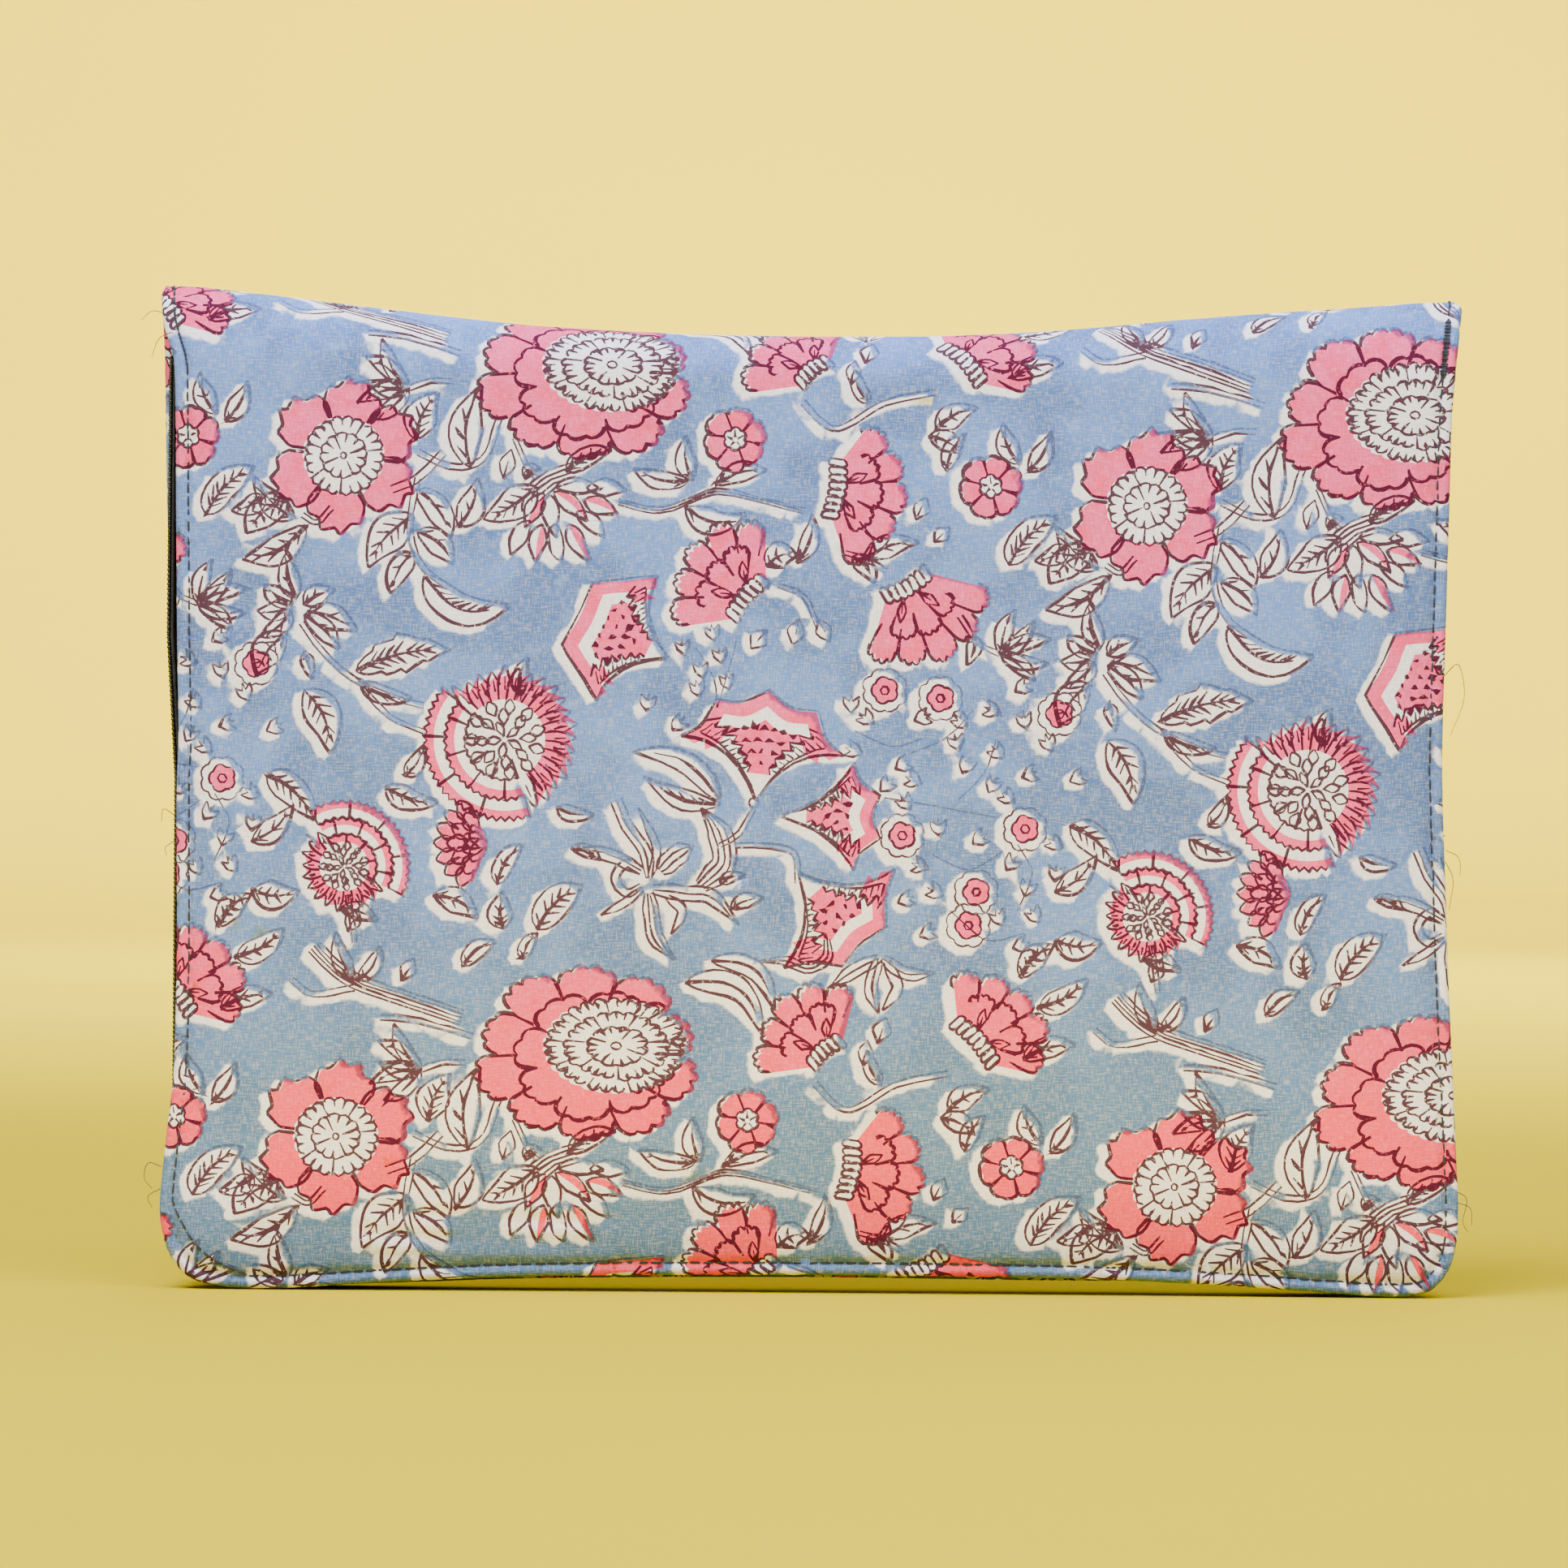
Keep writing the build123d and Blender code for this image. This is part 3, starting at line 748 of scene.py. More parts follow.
    def striped_blooms(self) -> None:
        """Draws the two striped blooms, the aster and the leaves round them."""
        b = self.block
        b.dahlia(-82+149j, 22, 215, .88, 19)
        b.dahlia(-125+114.5j, 18, 48, .66, 13)
        b.aster(-88+121j, -101+121j)
        b.leaf(-84+110j, -77+121j, 2.8, .1, 3)
        b.stem([-120+162j, -113+155j, -104+151j], 1.3)
        b.stem([-124+107j, -123+101j, -122+94j], 1.3)
        for leaf in (
            (-136+162j, -129+145j, 4.6, .12, 5), (-146+139j, -133+127j, 4.2, .1, 5),
            (-109+139j, -104+147j, 2.4, -.1, 2), (-150+121j, -139+131j, 3.0, -.1, 3),
            (-82+98j, -82+108j, 3.2, .1, 4), (-114+136j, -100+132j, 3.2, -.1, 4),
            (-150+108j, -137+108j, 3.6, -.12, 4), (-101+107j, -89+101j, 3.2, .12, 3),
            (-78+161j, -76+171j, 2.2, .1, 1), (-126+103j, -116+100j, 2.4, .1, 3),
            (-64+120j, -56+117j, 1.8, .1, 1),
        ):
            b.leaf(*leaf)

    def half_flowers(self) -> None:
        """Draws the carnations and the small flowers."""
        b = self.block
        for carnation in (
            (-17+187.5j, 140, 20, 65, 14), (6+217j, -8, 19.5, 75, 16), (25.5+191.5j, -60, 21, 62, 14),
            (5+65.5j, 132, 18.5, 68, 11), (45+68.5j, 42, 19, 72, 16),
        ):
            b.carnation(*carnation)
        b.small_flower(48+218j, 8.2)
        b.small_flower(-16+47j, 8.2)

    def upper_stems(self) -> None:
        """Draws the stems and leaves of the upper middle."""
        b = self.block
        b.stem([-52+213j, -40+211j, -26+216j, -14+214j, -2+211j], 1.5, 3)
        for leaf in (
            (-34+212j, -18+210j, 3.4, -.2, 2, -1), (-33+219j, -48+222j, 2.6, .1, 2),
            (-32+219j, -34+231j, 2.6, .1, 1), (-26+218j, -12+222j, 2.6, .1, 2),
            (-12+196j, -4+199j, 3.6, .2, 3), (-4+197j, 0+210j, 2.4, -.12, 1),
        ):
            b.leaf(*leaf)
        b.stem([-9+191j, -2+188j, 2+180j], 1.2)
        for bud in (
            (-12+179j, -16+174j, 2.4), (-3+182j, -5+175j, 2.2), (2+182j, 5+176j, 2.2),
            (28+209j, 31+215j, 2.2), (33+203j, 37+207j, 2.0),
        ):
            b.bud(*bud)
        b.leaf(14+198j, 29+203j, 2.8, .1, 3)
        b.leaf(11+199j, 17+192j, 2.4, .1, 1)
        b.stem([9+200j, 15+198j, 20+195j], 1.2)
        b.lily(51+173j, 64+177j, 5, 2.3, 55)
        b.stem([40+183j, 45+176j, 51+173j], 1.3)
        for leaf in (
            (44+178j, 42+170j, 2.0, .1, 1), (53+197j, 66+210j, 4.2, .1, 6), (56+224j, 51+235j, 2.8, .1, 3),
            (58+222j, 64+233j, 2.6, -.1, 2), (36+222j, 41+232j, 2.4, .1, 2),
        ):
            b.leaf(*leaf)

    def budding_branch(self) -> None:
        """Draws the branch with its buds and the lily under it."""
        b = self.block
        b.stem([-133+93j, -127+87j, -120+83j, -108+79j, -93+74j], 4.0, 5)
        b.stem([-122+82j, -133+80j, -139+84j], 1.6)
        b.leaf(-122+84j, -127+97j, 2.4, .1, 2)
        b.leaf(-121+84j, -115+93j, 2.4, -.1, 2)
        b.bud(-124+97j, -121+103j, 2.2)
        b.bud(-109+84j, -106+90j, 2.2)
        b.stem([-115+74j, -104+73j, -90+69j], 1.4)
        b.lily(-104+60j, -117+62j, 5, 2.3, 50)
        b.stem([-104+60j, -98+62j, -92+62j], 1.4)
        for leaf in (
            (-102+46j, -96+59j, 4.0, .1, 5), (-93+88j, -84+95j, 2.6, .1, 2),
            (-77+90j, -73+97j, 2.2, .1, 2),
        ):
            b.leaf(*leaf)

    def feathered_leaves(self) -> None:
        """Draws long leaves, feathered crescents and a budding stem."""
        b = self.block
        b.leaf(-33+84j, -12+70j, 3.4, .26, 0)
        b.leaf(-26+90j, -9+77j, 2.8, .24, 0)
        for ribbon in (
            ([19+91j, 13+88j, 6+83j], 3.6, 3), ([19+91j, 17+83j, 19+76j], 3.4, 3),
            ([21+90j, 24+83j, 20+77j], 3.0, 2), ([20+91j, 26+87j, 34+87j], 3.4, 3),
            ([5+96j, 5+91j, 0+88j, -6+90j, -13+90j], 2.6, 3),
        ):
            b.ribbon(*ribbon)
        b.stem([2+57j, 11+50j, 24+57j, 38+60j], 1.5)
        b.bud(19+68j, 21+75j, 2.4)
        b.bud(15+62j, 16+69j, 2.0)
        for leaf in (
            (20+57j, 16+66j, 2.2, .1, 1), (38+50j, 49+56j, 3.0, .1, 3), (36+48j, 45+44j, 2.8, .1, 2),
            (58+64j, 72+68j, 3.0, .1, 3), (62+78j, 75+86j, 3.4, -.1, 4), (57+86j, 66+95j, 3.2, .1, 4),
        ):
            b.leaf(*leaf)

    def meadow(self) -> None:
        """Draws the meadow of tiny flowers, tulips and trails."""
        b = self.block
        for place in (20+163j, 35+161j, 25+124j, 58+126j, 45+109j, 43+100j, 67+157j):
            b.tiny_flower(place, 5.8)
        for n, place in enumerate((
            11+157j, 17+154j, 28+155j, 42+153j, 40+147j, 23+142j, 30+138j, 41+141j, 48+136j, 51+157j, 55+163j,
            58+153j, 52+145j, 57+140j, 55+133j, 35+124j, 44+122j, 32+115j, 53+115j, 58+108j, 36+108j, 30+97j,
            52+100j, 62+101j, 55+94j, 64+91j, -44+157j, -37+152j, 14+146j, 19+136j, 66+112j, 68+121j, 24+106j,
            27+131j, 65+147j, 70+139j,
        )):
            b.tulip(place, 90 + 70 * math.sin(2.3 * n), 4.3)
        for trail in (
            [20+134j, 34+132j, 50+129j], [24+145j, 36+150j, 44+158j], [50+150j, 47+141j, 40+134j],
            [33+119j, 43+115j, 52+120j], [38+104j, 48+96j, 58+98j], [56+104j, 60+114j, 56+122j],
            [12+152j, 22+148j, 30+150j],
        ):
            b.trail(trail)
        for place in (-34+172j, -29+166j, -24+170j, -30+161j, -22+163j, -26+176j):
            b.tulip(place, 100, 4.0)
        b.trail([-25+158j, -26+166j, -31+174j])
        b.trail([-25+158j, -22+168j, -20+176j])


class Panel(Enum):
    """The two padded halves; the value is the side of the zipper that it lies on."""

    FRONT = -1
    BACK = 1


FOLD_LINE = ((-176.5, 270.6), (-165, 270.3), (-143, 267.9), (-121, 265.4), (-99, 262.9), (-77, 260.7),
             (-55, 259.5), (-33, 258.6), (0, 258.2), (32, 258.5), (54, 259.5), (76, 261.2), (98, 263.4),
             (120, 265.3), (142, 266.8), (164, 268.6), (176, 268.9))
LOWER_RIGHT = ((110, 3.2), (140, 1.3), (157, 0.4), (167.3, 1.5), (172.8, 6.5), (175.3, 14), (175.9, 24),
               (174.8, 46), (172.7, 86), (171.6, 112), (170.7, 134), (170.5, 152), (171.6, 205), (172.2, 236),
               (173.2, 250), (174.4, 262), (175.2, 268.9))
EDGES = {
    Panel.FRONT: ((-176.0, 270.5), (-175.6, 265), (-174.9, 259.5), (-173.0, 253.5), (-171.9, 248),
                  (-171.5, 232), (-171.2, 207), (-170.7, 173), (-170.2, 150), (-170.6, 132), (-170.3, 93),
                  (-170.9, 60), (-172.7, 42), (-174.4, 24), (-173.8, 16), (-171.3, 8.5), (-166, 3),
                  (-157, 0.7), (-140, 0.5), (-110, 2.4), (-70, 4.2), (0, 5.0), (70, 4.6))
    + LOWER_RIGHT,
    Panel.BACK: ((-176.2, 270.5), (-176, 262), (-175.6, 250), (-175.2, 232), (-174.6, 207), (-173.2, 173),
                 (-171.9, 150), (-170.2, 132), (-169.7, 93), (-170.2, 60), (-172, 42), (-173.9, 24),
                 (-173.4, 16), (-171, 8.5), (-166, 3), (-157, 0.5), (-140, 0.0), (-110, 0.9), (-70, 2.4),
                 (0, 3.2), (70, 2.8))
    + LOWER_RIGHT,
}


def fold_height(x: np.ndarray) -> np.ndarray:
    """Height of the fold along the top."""
    line = np.array(FOLD_LINE)
    return np.interp(x, line[:, 0], line[:, 1])


def shoulder_length(x: np.ndarray) -> np.ndarray:
    """Cloth that it takes to go from the shoulder over to the fold.

    Args:
        x: places across the sleeve.

    Returns:
        Length of cloth at each place.
    """
    depth = LIP_DEPTH + (SHOULDER_DEPTH - LIP_DEPTH) * (1 - (np.abs(x) / 176) ** 6)
    rise = fold_height(x) - SHOULDER_Z
    return math.pi / 2 * np.sqrt((depth**2 + rise**2) / 2)


def fold_cloth(x: np.ndarray) -> np.ndarray:
    """Place of the fold on the flat cloth."""
    return SHOULDER_Z + shoulder_length(x)


def smooth_noise(x: np.ndarray, y: np.ndarray, seed: int, size: float) -> np.ndarray:
    """Soft random waves over a surface.

    Args:
        x, y: places on the surface.
        seed: picks the waves.
        size: rough distance between crests.

    Returns:
        A value of about -1 to 1 at each place.
    """
    rng = np.random.default_rng(seed)
    total = np.zeros(np.broadcast(x, y).shape)
    for _ in range(WAVES):
        way, turn = rng.uniform(0.6, 1.6) * 2 * math.pi / size, rng.uniform(0, 2 * math.pi)
        total += np.sin(way * (x * math.cos(turn) + y * math.sin(turn)) + rng.uniform(0, 6.3))
    return total / 3.2


def hump(value: np.ndarray, middle: float, width: float) -> np.ndarray:
    """Gives a smooth hump of height 1."""
    return np.exp(-(((value - middle) / width) ** 2))


class PanelShape:
    """Where a panel's cloth lies: from a place on the flat cloth to a place in the sleeve."""

    def __init__(self, panel: Panel) -> None:
        """Lays out the panel's edge and its outward direction.

        Args:
            panel: which half.
        """
        self.panel = panel
        edge = run([complex(*p) for p in EDGES[panel]], 1.2)
        x, z = edge.real, edge.imag
        rise = np.maximum(fold_height(x) - SHOULDER_Z, 1.0)
        turn = np.arcsin(np.clip((z - SHOULDER_Z) / rise, 0, 1))
        v = np.where(z > SHOULDER_Z, SHOULDER_Z + shoulder_length(x) * turn / (math.pi / 2), z)
        edge = x + 1j * v
        way = np.gradient(edge)
        self.normal = -1j * way / np.abs(way)
        self.normal = np.convolve(np.pad(self.normal, 4, "edge"), np.ones(9) / 9, "valid")
        self.normal /= np.abs(self.normal)
        self.edge = edge - self.normal * ROLL
        self.edge_length = np.concatenate([[0], np.cumsum(np.abs(np.diff(self.edge)))])
        self.sag: np.ndarray | None = None

    def nearest(self, flat: np.ndarray) -> tuple[np.ndarray, np.ndarray]:
        """Nearest place along the panel's edge.

        Args:
            flat: complex places on the panel's flat cloth.

        Returns:
            Index along the edge as a real number, and distance inward from it.
        """
        index, inward = np.zeros(len(flat)), np.zeros(len(flat))
        for start in range(0, len(flat), 4000):
            part = flat[start : start + 4000]
            away = np.abs(part[:, None] - self.edge[None, :])
            k = np.clip(away.argmin(1), 1, len(self.edge) - 2)
            chord = self.edge[k + 1] - self.edge[k - 1]
            along = ((part - self.edge[k - 1]) * chord.conj()).real / np.abs(chord) ** 2
            index[start : start + 4000] = k - 1 + 2 * np.clip(along, 0, 1)
            foot = self.edge[k - 1] + chord * np.clip(along, 0, 1)
            inward[start : start + 4000] = -((part - foot) * self.normal[k].conj()).real
        return index, inward

    def at_edge(self, index: np.ndarray) -> tuple[np.ndarray, np.ndarray]:
        """Place and outward direction at an index along the edge.

        Args:
            index: real-valued index along the edge.

        Returns:
            The place, and the outward direction there.
        """
        steps = np.arange(len(self.edge))
        place = np.interp(index, steps, self.edge.real) + 1j * np.interp(index, steps, self.edge.imag)
        normal = np.interp(index, steps, self.normal.real) + 1j * np.interp(index, steps, self.normal.imag)
        return place, normal / np.abs(normal)

    def offset_line(self, inward: float, spacing: float) -> np.ndarray:
        """Evenly spaced places along a line inside the edge.

        Args:
            inward: distance inside the edge; negative outside.
            spacing: distance between places.

        Returns:
            Complex places on the flat cloth, from the top left round to the top right.
        """
        count = int(self.edge_length[-1] / spacing)
        along = np.linspace(0, self.edge_length[-1], count)
        index = np.interp(along, self.edge_length, np.arange(len(self.edge)))
        place, normal = self.at_edge(index)
        return place - normal * inward

    def depth(self, x: np.ndarray, v: np.ndarray, inward: np.ndarray) -> np.ndarray:
        """How far the padded face stands from the middle of the sleeve.

        Args:
            x, v: places on the flat cloth.
            inward: distance inside the edge.

        Returns:
            The depth of the cloth.
        """
        crown = CROWN_DEPTH - (CROWN_DEPTH - SHOULDER_DEPTH) * np.clip((v - 110) / 136, 0, 1) ** 1.6
        puff = 1 - np.exp(-np.maximum(inward - STITCH_INSET, 0) / 11.0)
        depth = LIP_DEPTH + (crown - LIP_DEPTH) * puff
        depth -= 0.75 * hump(inward, STITCH_INSET, 0.8)
        depth += 0.25 * hump(inward, 0.6, 0.7)
        pucker = hump(inward, STITCH_INSET, 4.5) * np.minimum(np.maximum(inward, 0) / 1.5, 1)
        depth += 0.22 * pucker * smooth_noise(x, v, 5 + self.panel.value, 9.0)
        soft = np.clip((inward - 5) / 30, 0, 1)
        depth += 0.55 * soft * smooth_noise(x, v * 1.3, 21 + self.panel.value, 120.0)
        low = hump(x, -88, 46) * hump(v, 15, 9) * np.clip((inward - 3.5) / 3, 0, 1)
        depth += 0.5 * low * np.sin(v * 0.95 + 0.03 * x + 0.8 * np.sin(x / 17))
        side = hump(x, -166, 5) * hump(v, 236, 22) * np.clip((inward - 2) / 3, 0, 1)
        depth += 0.6 * side * np.sin(x * 1.5 + 0.6 * np.sin(v / 11))
        if self.sag is not None:
            depth += self.sagging(x, v) * np.clip((inward - 4) / 10, 0, 1)
        return depth

    def sagging(self, x: np.ndarray, v: np.ndarray) -> np.ndarray:
        """Depth that the simulated cloth adds.

        Args:
            x, v: places on the flat cloth.

        Returns:
            Added depth at each place.
        """
        rows, columns = self.sag.shape
        fx = np.clip((x + SAG_SIDE) / (2 * SAG_SIDE) * (columns - 1), 0, columns - 1.001)
        fv = np.clip((v - SAG_LOW) / (SAG_HIGH - SAG_LOW) * (rows - 1), 0, rows - 1.001)
        i, j = fv.astype(int), fx.astype(int)
        a, b = fv - i, fx - j
        a, b = a * a * (3 - 2 * a), b * b * (3 - 2 * b)
        near = self.sag[i, j] * (1 - b) + self.sag[i, j + 1] * b
        far = self.sag[i + 1, j] * (1 - b) + self.sag[i + 1, j + 1] * b
        return near * (1 - a) + far * a

    def place(self, flat: np.ndarray, lift: float | np.ndarray = 0.0) -> np.ndarray:
        """Lays flat cloth on the panel.

        Args:
            flat: complex places on the panel's flat cloth.
            lift: distance above the cloth, along its outward direction.

        Returns:
            An array of x, y, z places in millimetres.
        """
        index, inward = self.nearest(flat)
        edge, normal = self.at_edge(index)
        outside = inward < 0
        at = np.where(outside, edge, flat)
        x, v = at.real, at.imag
        wrap = np.where(outside, -inward, 0.0)
        semi = self.depth(x, v, np.maximum(inward, 0))
        rise = np.maximum(fold_height(x) - SHOULDER_Z, 1.0)
        turn = math.pi / 2 * np.clip((v - SHOULDER_Z) / shoulder_length(x), 0, 1)
        z = np.where(v > SHOULDER_Z, SHOULDER_Z + rise * np.sin(turn), v)
        y = semi * np.cos(turn)
        up, out = np.sin(turn) / rise, np.cos(turn) / semi
        size = np.hypot(up, out)
        up, out = up / size, out / size
        radius = np.minimum(ROLL, np.maximum(y, 0.6) / 2)
        angle = np.minimum(wrap / radius, math.pi)
        sideways = radius * np.sin(angle) - np.maximum(wrap - math.pi * radius, 0)
        back = radius * (1 - np.cos(angle)) - lift * np.cos(angle)
        sideways = sideways + lift * np.sin(angle)
        y = y - out * back
        z = z - up * back + normal.imag * sideways * np.where(v > SHOULDER_Z, 0.3, 1.0)
        x = x + normal.real * sideways
        return np.stack([x, self.panel.value * y, z], 1)

    def cloth_to_panel(self, cloth: np.ndarray) -> np.ndarray:
        """Turns places on the printed cloth into places on this panel, and the other way round.

        The back half hangs upside down over the fold.

        Args:
            cloth: complex places on the printed cloth.

        Returns:
            Complex places on the panel's own flat cloth.
        """
        if self.panel is Panel.FRONT:
            return cloth
        return cloth.real + 1j * (2 * fold_cloth(cloth.real) - cloth.imag)

    def region(self) -> np.ndarray:
        """Outline of the panel's cut cloth, hem included.

        Returns:
            Complex outline on the printed cloth, turning left.
        """
        hem = self.offset_line(-(math.pi * ROLL + LIP_TURN), 2.0)
        top = fold_cloth(hem.real)
        hem = hem[(hem.imag < top - 0.5)]
        across = np.linspace(hem[-1].real, hem[0].real, 150)
        fold = across + 1j * fold_cloth(across)
        outline = np.concatenate([hem, fold])
        if self.panel is Panel.BACK:
            outline = self.cloth_to_panel(outline)[::-1]
        return outline


def inside(points: np.ndarray, outline: np.ndarray) -> np.ndarray:
    """Tells which points lie inside a closed outline.

    Args:
        points: complex places.
        outline: complex corners.

    Returns:
        A true or false value for each point.
    """
    result = np.zeros(len(points), bool)
    px, py = points.real, points.imag
    for a, b in zip(outline, np.roll(outline, -1)):
        if a.imag == b.imag:
            continue
        crosses = (a.imag > py) != (b.imag > py)
        result ^= crosses & (px < (b.real - a.real) * (py - a.imag) / (b.imag - a.imag) + a.real)
    return result


def box_of(p: np.ndarray, margin: float = 0.0) -> tuple[float, float, float, float]:
    """Gives the lowest and highest x and y of some places."""
    return p.real.min() - margin, p.real.max() + margin, p.imag.min() - margin, p.imag.max() + margin


def within(points: np.ndarray, box: tuple) -> np.ndarray:
    """Tells which points lie in a box."""
    return (points.real > box[0]) & (points.real < box[1]) & (points.imag > box[2]) & (points.imag < box[3])


def meeting(boxes: np.ndarray, box: tuple) -> np.ndarray:
    """Gives the numbers of the boxes that meet one box."""
    x0, x1, y0, y1 = box
    return np.nonzero((boxes[:, 0] < x1) & (boxes[:, 1] > x0) & (boxes[:, 2] < y1) & (boxes[:, 3] > y0))[0]


class PrintedCloth:
    """Flat mesh of a panel's cut cloth, split along every line and fill of the print."""

    def __init__(self, shape: PanelShape, block: Block) -> None:
        """Stamps the block all over the cloth, then cuts and inks it.

        Args:
            shape: the panel.
            block: the print.
        """
        self.shape = shape
        self.outline = shape.region()
        self.low = complex(self.outline.real.min(), self.outline.imag.min())
        self.high = complex(self.outline.real.max(), self.outline.imag.max())
        self.middle = shape.cloth_to_panel(shape.offset_line(LIP_BAND, 4.0))
        self.strokes, self.fills, self.masses = [], [], []
        for across in range(-2, 3):
            for down in range(-4, 3):
                shift, stretch = across * REPEAT_ACROSS + down * REPEAT_DOWN, REPEAT_STRETCH * max(down, 0)

                def stamp(p: np.ndarray) -> np.ndarray:
                    """Moves a shape of the block to this repeat."""
                    return p + shift + stretch * (p + shift).real

                lines = [(stamp(p), half) for p, half in block.strokes]
                fills = [(stamp(p), on) for p, on in block.fills]
                masses = [stamp(p) for p in block.masses]
                self.strokes += [self.follow_lip(p, half) for p, half in lines if self.touches(p)]
                self.fills += [(self.follow_lip(p)[0], on) for p, on in fills if self.touches(p)]
                self.masses += [p for p in masses if self.touches(p, 12)]
        self.cut()
        self.ink()

    def touches(self, p: np.ndarray, margin: float = 2.0) -> bool:
        """Tells whether a line comes near the cloth."""
        return (p.real.max() > self.low.real - margin and p.real.min() < self.high.real + margin
                and p.imag.max() > self.low.imag - margin and p.imag.min() < self.high.imag + margin)

    def filler(self) -> np.ndarray:
        """Points that carry the cloth's curves between the lines of the print.

        Returns:
            Complex places on the printed cloth.
        """
        xs = np.arange(math.floor(self.low.real / GRID) * GRID, self.high.real, GRID)
        ys = np.arange(math.floor(self.low.imag / GRID) * GRID, self.high.imag, GRID)
        grid = (xs[None, :] + (np.arange(len(ys))[:, None] % 2) * GRID / 2 + 1j * ys[:, None]).ravel()
        _, inward = self.shape.nearest(self.shape.cloth_to_panel(grid))
        grid = grid[inward > 6.6]
        rows = [self.shape.offset_line(d, 2.6) for d in (5.6, 4.2, 3.3, 2.6, 1.9, 1.2, 0.5)]
        rows += [self.shape.offset_line(-d, 2.6) for d in (0, 0.8, 1.6, 2.4, 3.1, 3.9, 4.7)]
        rows = np.concatenate(rows)
        rows = self.shape.cloth_to_panel(rows[rows.imag < fold_cloth(rows.real) - 0.6])
        taken = {(int(q.real), int(q.imag)) for p, _ in self.strokes for q in p}
        free = [q for q in grid if (int(q.real), int(q.imag)) not in taken]
        return np.concatenate([np.array(free), rows])

    def follow_lip(self, p: np.ndarray, half: np.ndarray | None = None) -> tuple[np.ndarray, np.ndarray]:
        """Adds points to a printed shape where it runs over the curved lip.

        Args:
            p: complex points of the shape.
            half: half width at each point.

        Returns:
            The points and half widths, closer together on the lip.
        """
        half = np.zeros(len(p)) if half is None else half
        on_lip = ~inside(p, self.middle)
        gap = np.abs(np.diff(p))
        split = (on_lip[1:] | on_lip[:-1]) & (gap > LIP_STEP * 1.3)
        if not split.any():
            return p, half
        at = [np.arange(len(p), dtype=float)]
        for k in np.nonzero(split)[0]:
            parts = math.ceil(gap[k] / LIP_STEP)
            at.append(k + np.arange(1, parts) / parts)
        at, index = np.sort(np.concatenate(at)), np.arange(len(p))
        return np.interp(at, index, p.real) + 1j * np.interp(at, index, p.imag), np.interp(at, index, half)

    def cut(self, size: float = 52.0) -> None:
        """Triangulates the cloth, patch by patch, and joins the patches.

        Args:
            size: side of a patch.
        """
        filler = self.filler()
        boxes = np.array([box_of(p, 1.0) for p, _ in self.strokes])
        fill_boxes = np.array([box_of(p) for p, _ in self.fills])
        points, faces, lines, total = [], [], [], 0
        for x0 in np.arange(math.floor(self.low.real / size) * size, self.high.real, size):
            for y0 in np.arange(math.floor(self.low.imag / size) * size, self.high.imag, size):
                patch_box = (x0, x0 + size, y0, y0 + size)
                strokes = meeting(boxes, patch_box)
                rings = [self.ribbon_of(k) for k in strokes]
                rings += [self.fills[k][0] for k in meeting(fill_boxes, patch_box)]
                flat, tri = self.triangulate(patch_box, rings, filler)
                centre = flat[tri].mean(1)
                keep = within(centre, patch_box) & inside(centre, self.outline)
                points.append(flat)
                faces.append(tri[keep] + total)
                lines.append(self.on_lines(centre[keep], strokes, boxes))
                total += len(flat)
        self.join(np.concatenate(points), np.concatenate(faces), np.concatenate(lines))

    def ribbon_of(self, k: int) -> np.ndarray:
        """Outline of a printed line.

        Args:
            k: number of the line.

        Returns:
            Complex outline.
        """
        p, half = self.strokes[k]
        side = 1j * heading(p) * half
        return np.concatenate([p - side, (p + side)[::-1]])

    def triangulate(self, box: tuple, rings: list, filler: np.ndarray) -> tuple[np.ndarray, np.ndarray]:
        """Triangulates one patch along the edges of everything that lies on it.

        Args:
            box: the patch.
            rings: outlines of printed lines and fills.
            filler: points of the whole cloth.

        Returns:
            The patch's points and its triangles.
        """
        x0, x1, y0, y1 = box
        steps = np.linspace(0, x1 - x0, PATCH_STEPS + 1)[:-1]
        square = [x0 + steps + 1j * y0, x1 + 1j * (y0 + steps), x1 - steps + 1j * y1, x0 + 1j * (y1 - steps)]
        places, edges, base = [], [], 0
        for ring in [np.concatenate(square), *rings]:
            places.append(ring)
            edges += [(base + j, base + (j + 1) % len(ring)) for j in range(len(ring))]
            base += len(ring)
        hem, after = self.outline, np.roll(self.outline, -1)
        across = (np.maximum(hem.real, after.real) > x0) & (np.minimum(hem.real, after.real) < x1)
        down = (np.maximum(hem.imag, after.imag) > y0) & (np.minimum(hem.imag, after.imag) < y1)
        for a, b in zip(hem[across & down], after[across & down]):
            places.append(np.array([a, b]))
            edges.append((base, base + 1))
            base += 2
        places.append(filler[within(filler, (x0 + 0.3, x1 - 0.3, y0 + 0.3, y1 - 0.3))])
        verts = [Vector((q.real, q.imag)) for q in np.concatenate(places)]
        out, _, tris = delaunay_2d_cdt(verts, edges, [], 0, 1e-4, False)[:3]
        return np.array([complex(*v) for v in out]), np.array(tris)

    def join(self, flat: np.ndarray, tri: np.ndarray, line: np.ndarray) -> None:
        """Joins the patches into one mesh and drops what no face uses.

        Args:
            flat: every patch's points.
            tri: every patch's triangles.
            line: whether each triangle lies on a printed line.
        """
        column, row = (np.round(part * WELD).astype(np.int64) for part in (flat.real, flat.imag))
        key = column * 4_000_003 + row
        _, first, back = np.unique(key, return_index=True, return_inverse=True)
        flat, tri = flat[first], back[tri]
        sound = (tri[:, 0] != tri[:, 1]) & (tri[:, 1] != tri[:, 2]) & (tri[:, 0] != tri[:, 2])
        used, packed = np.unique(tri[sound], return_inverse=True)
        self.flat, self.faces, self.line = flat[used], packed.reshape(-1, 3), line[sound]

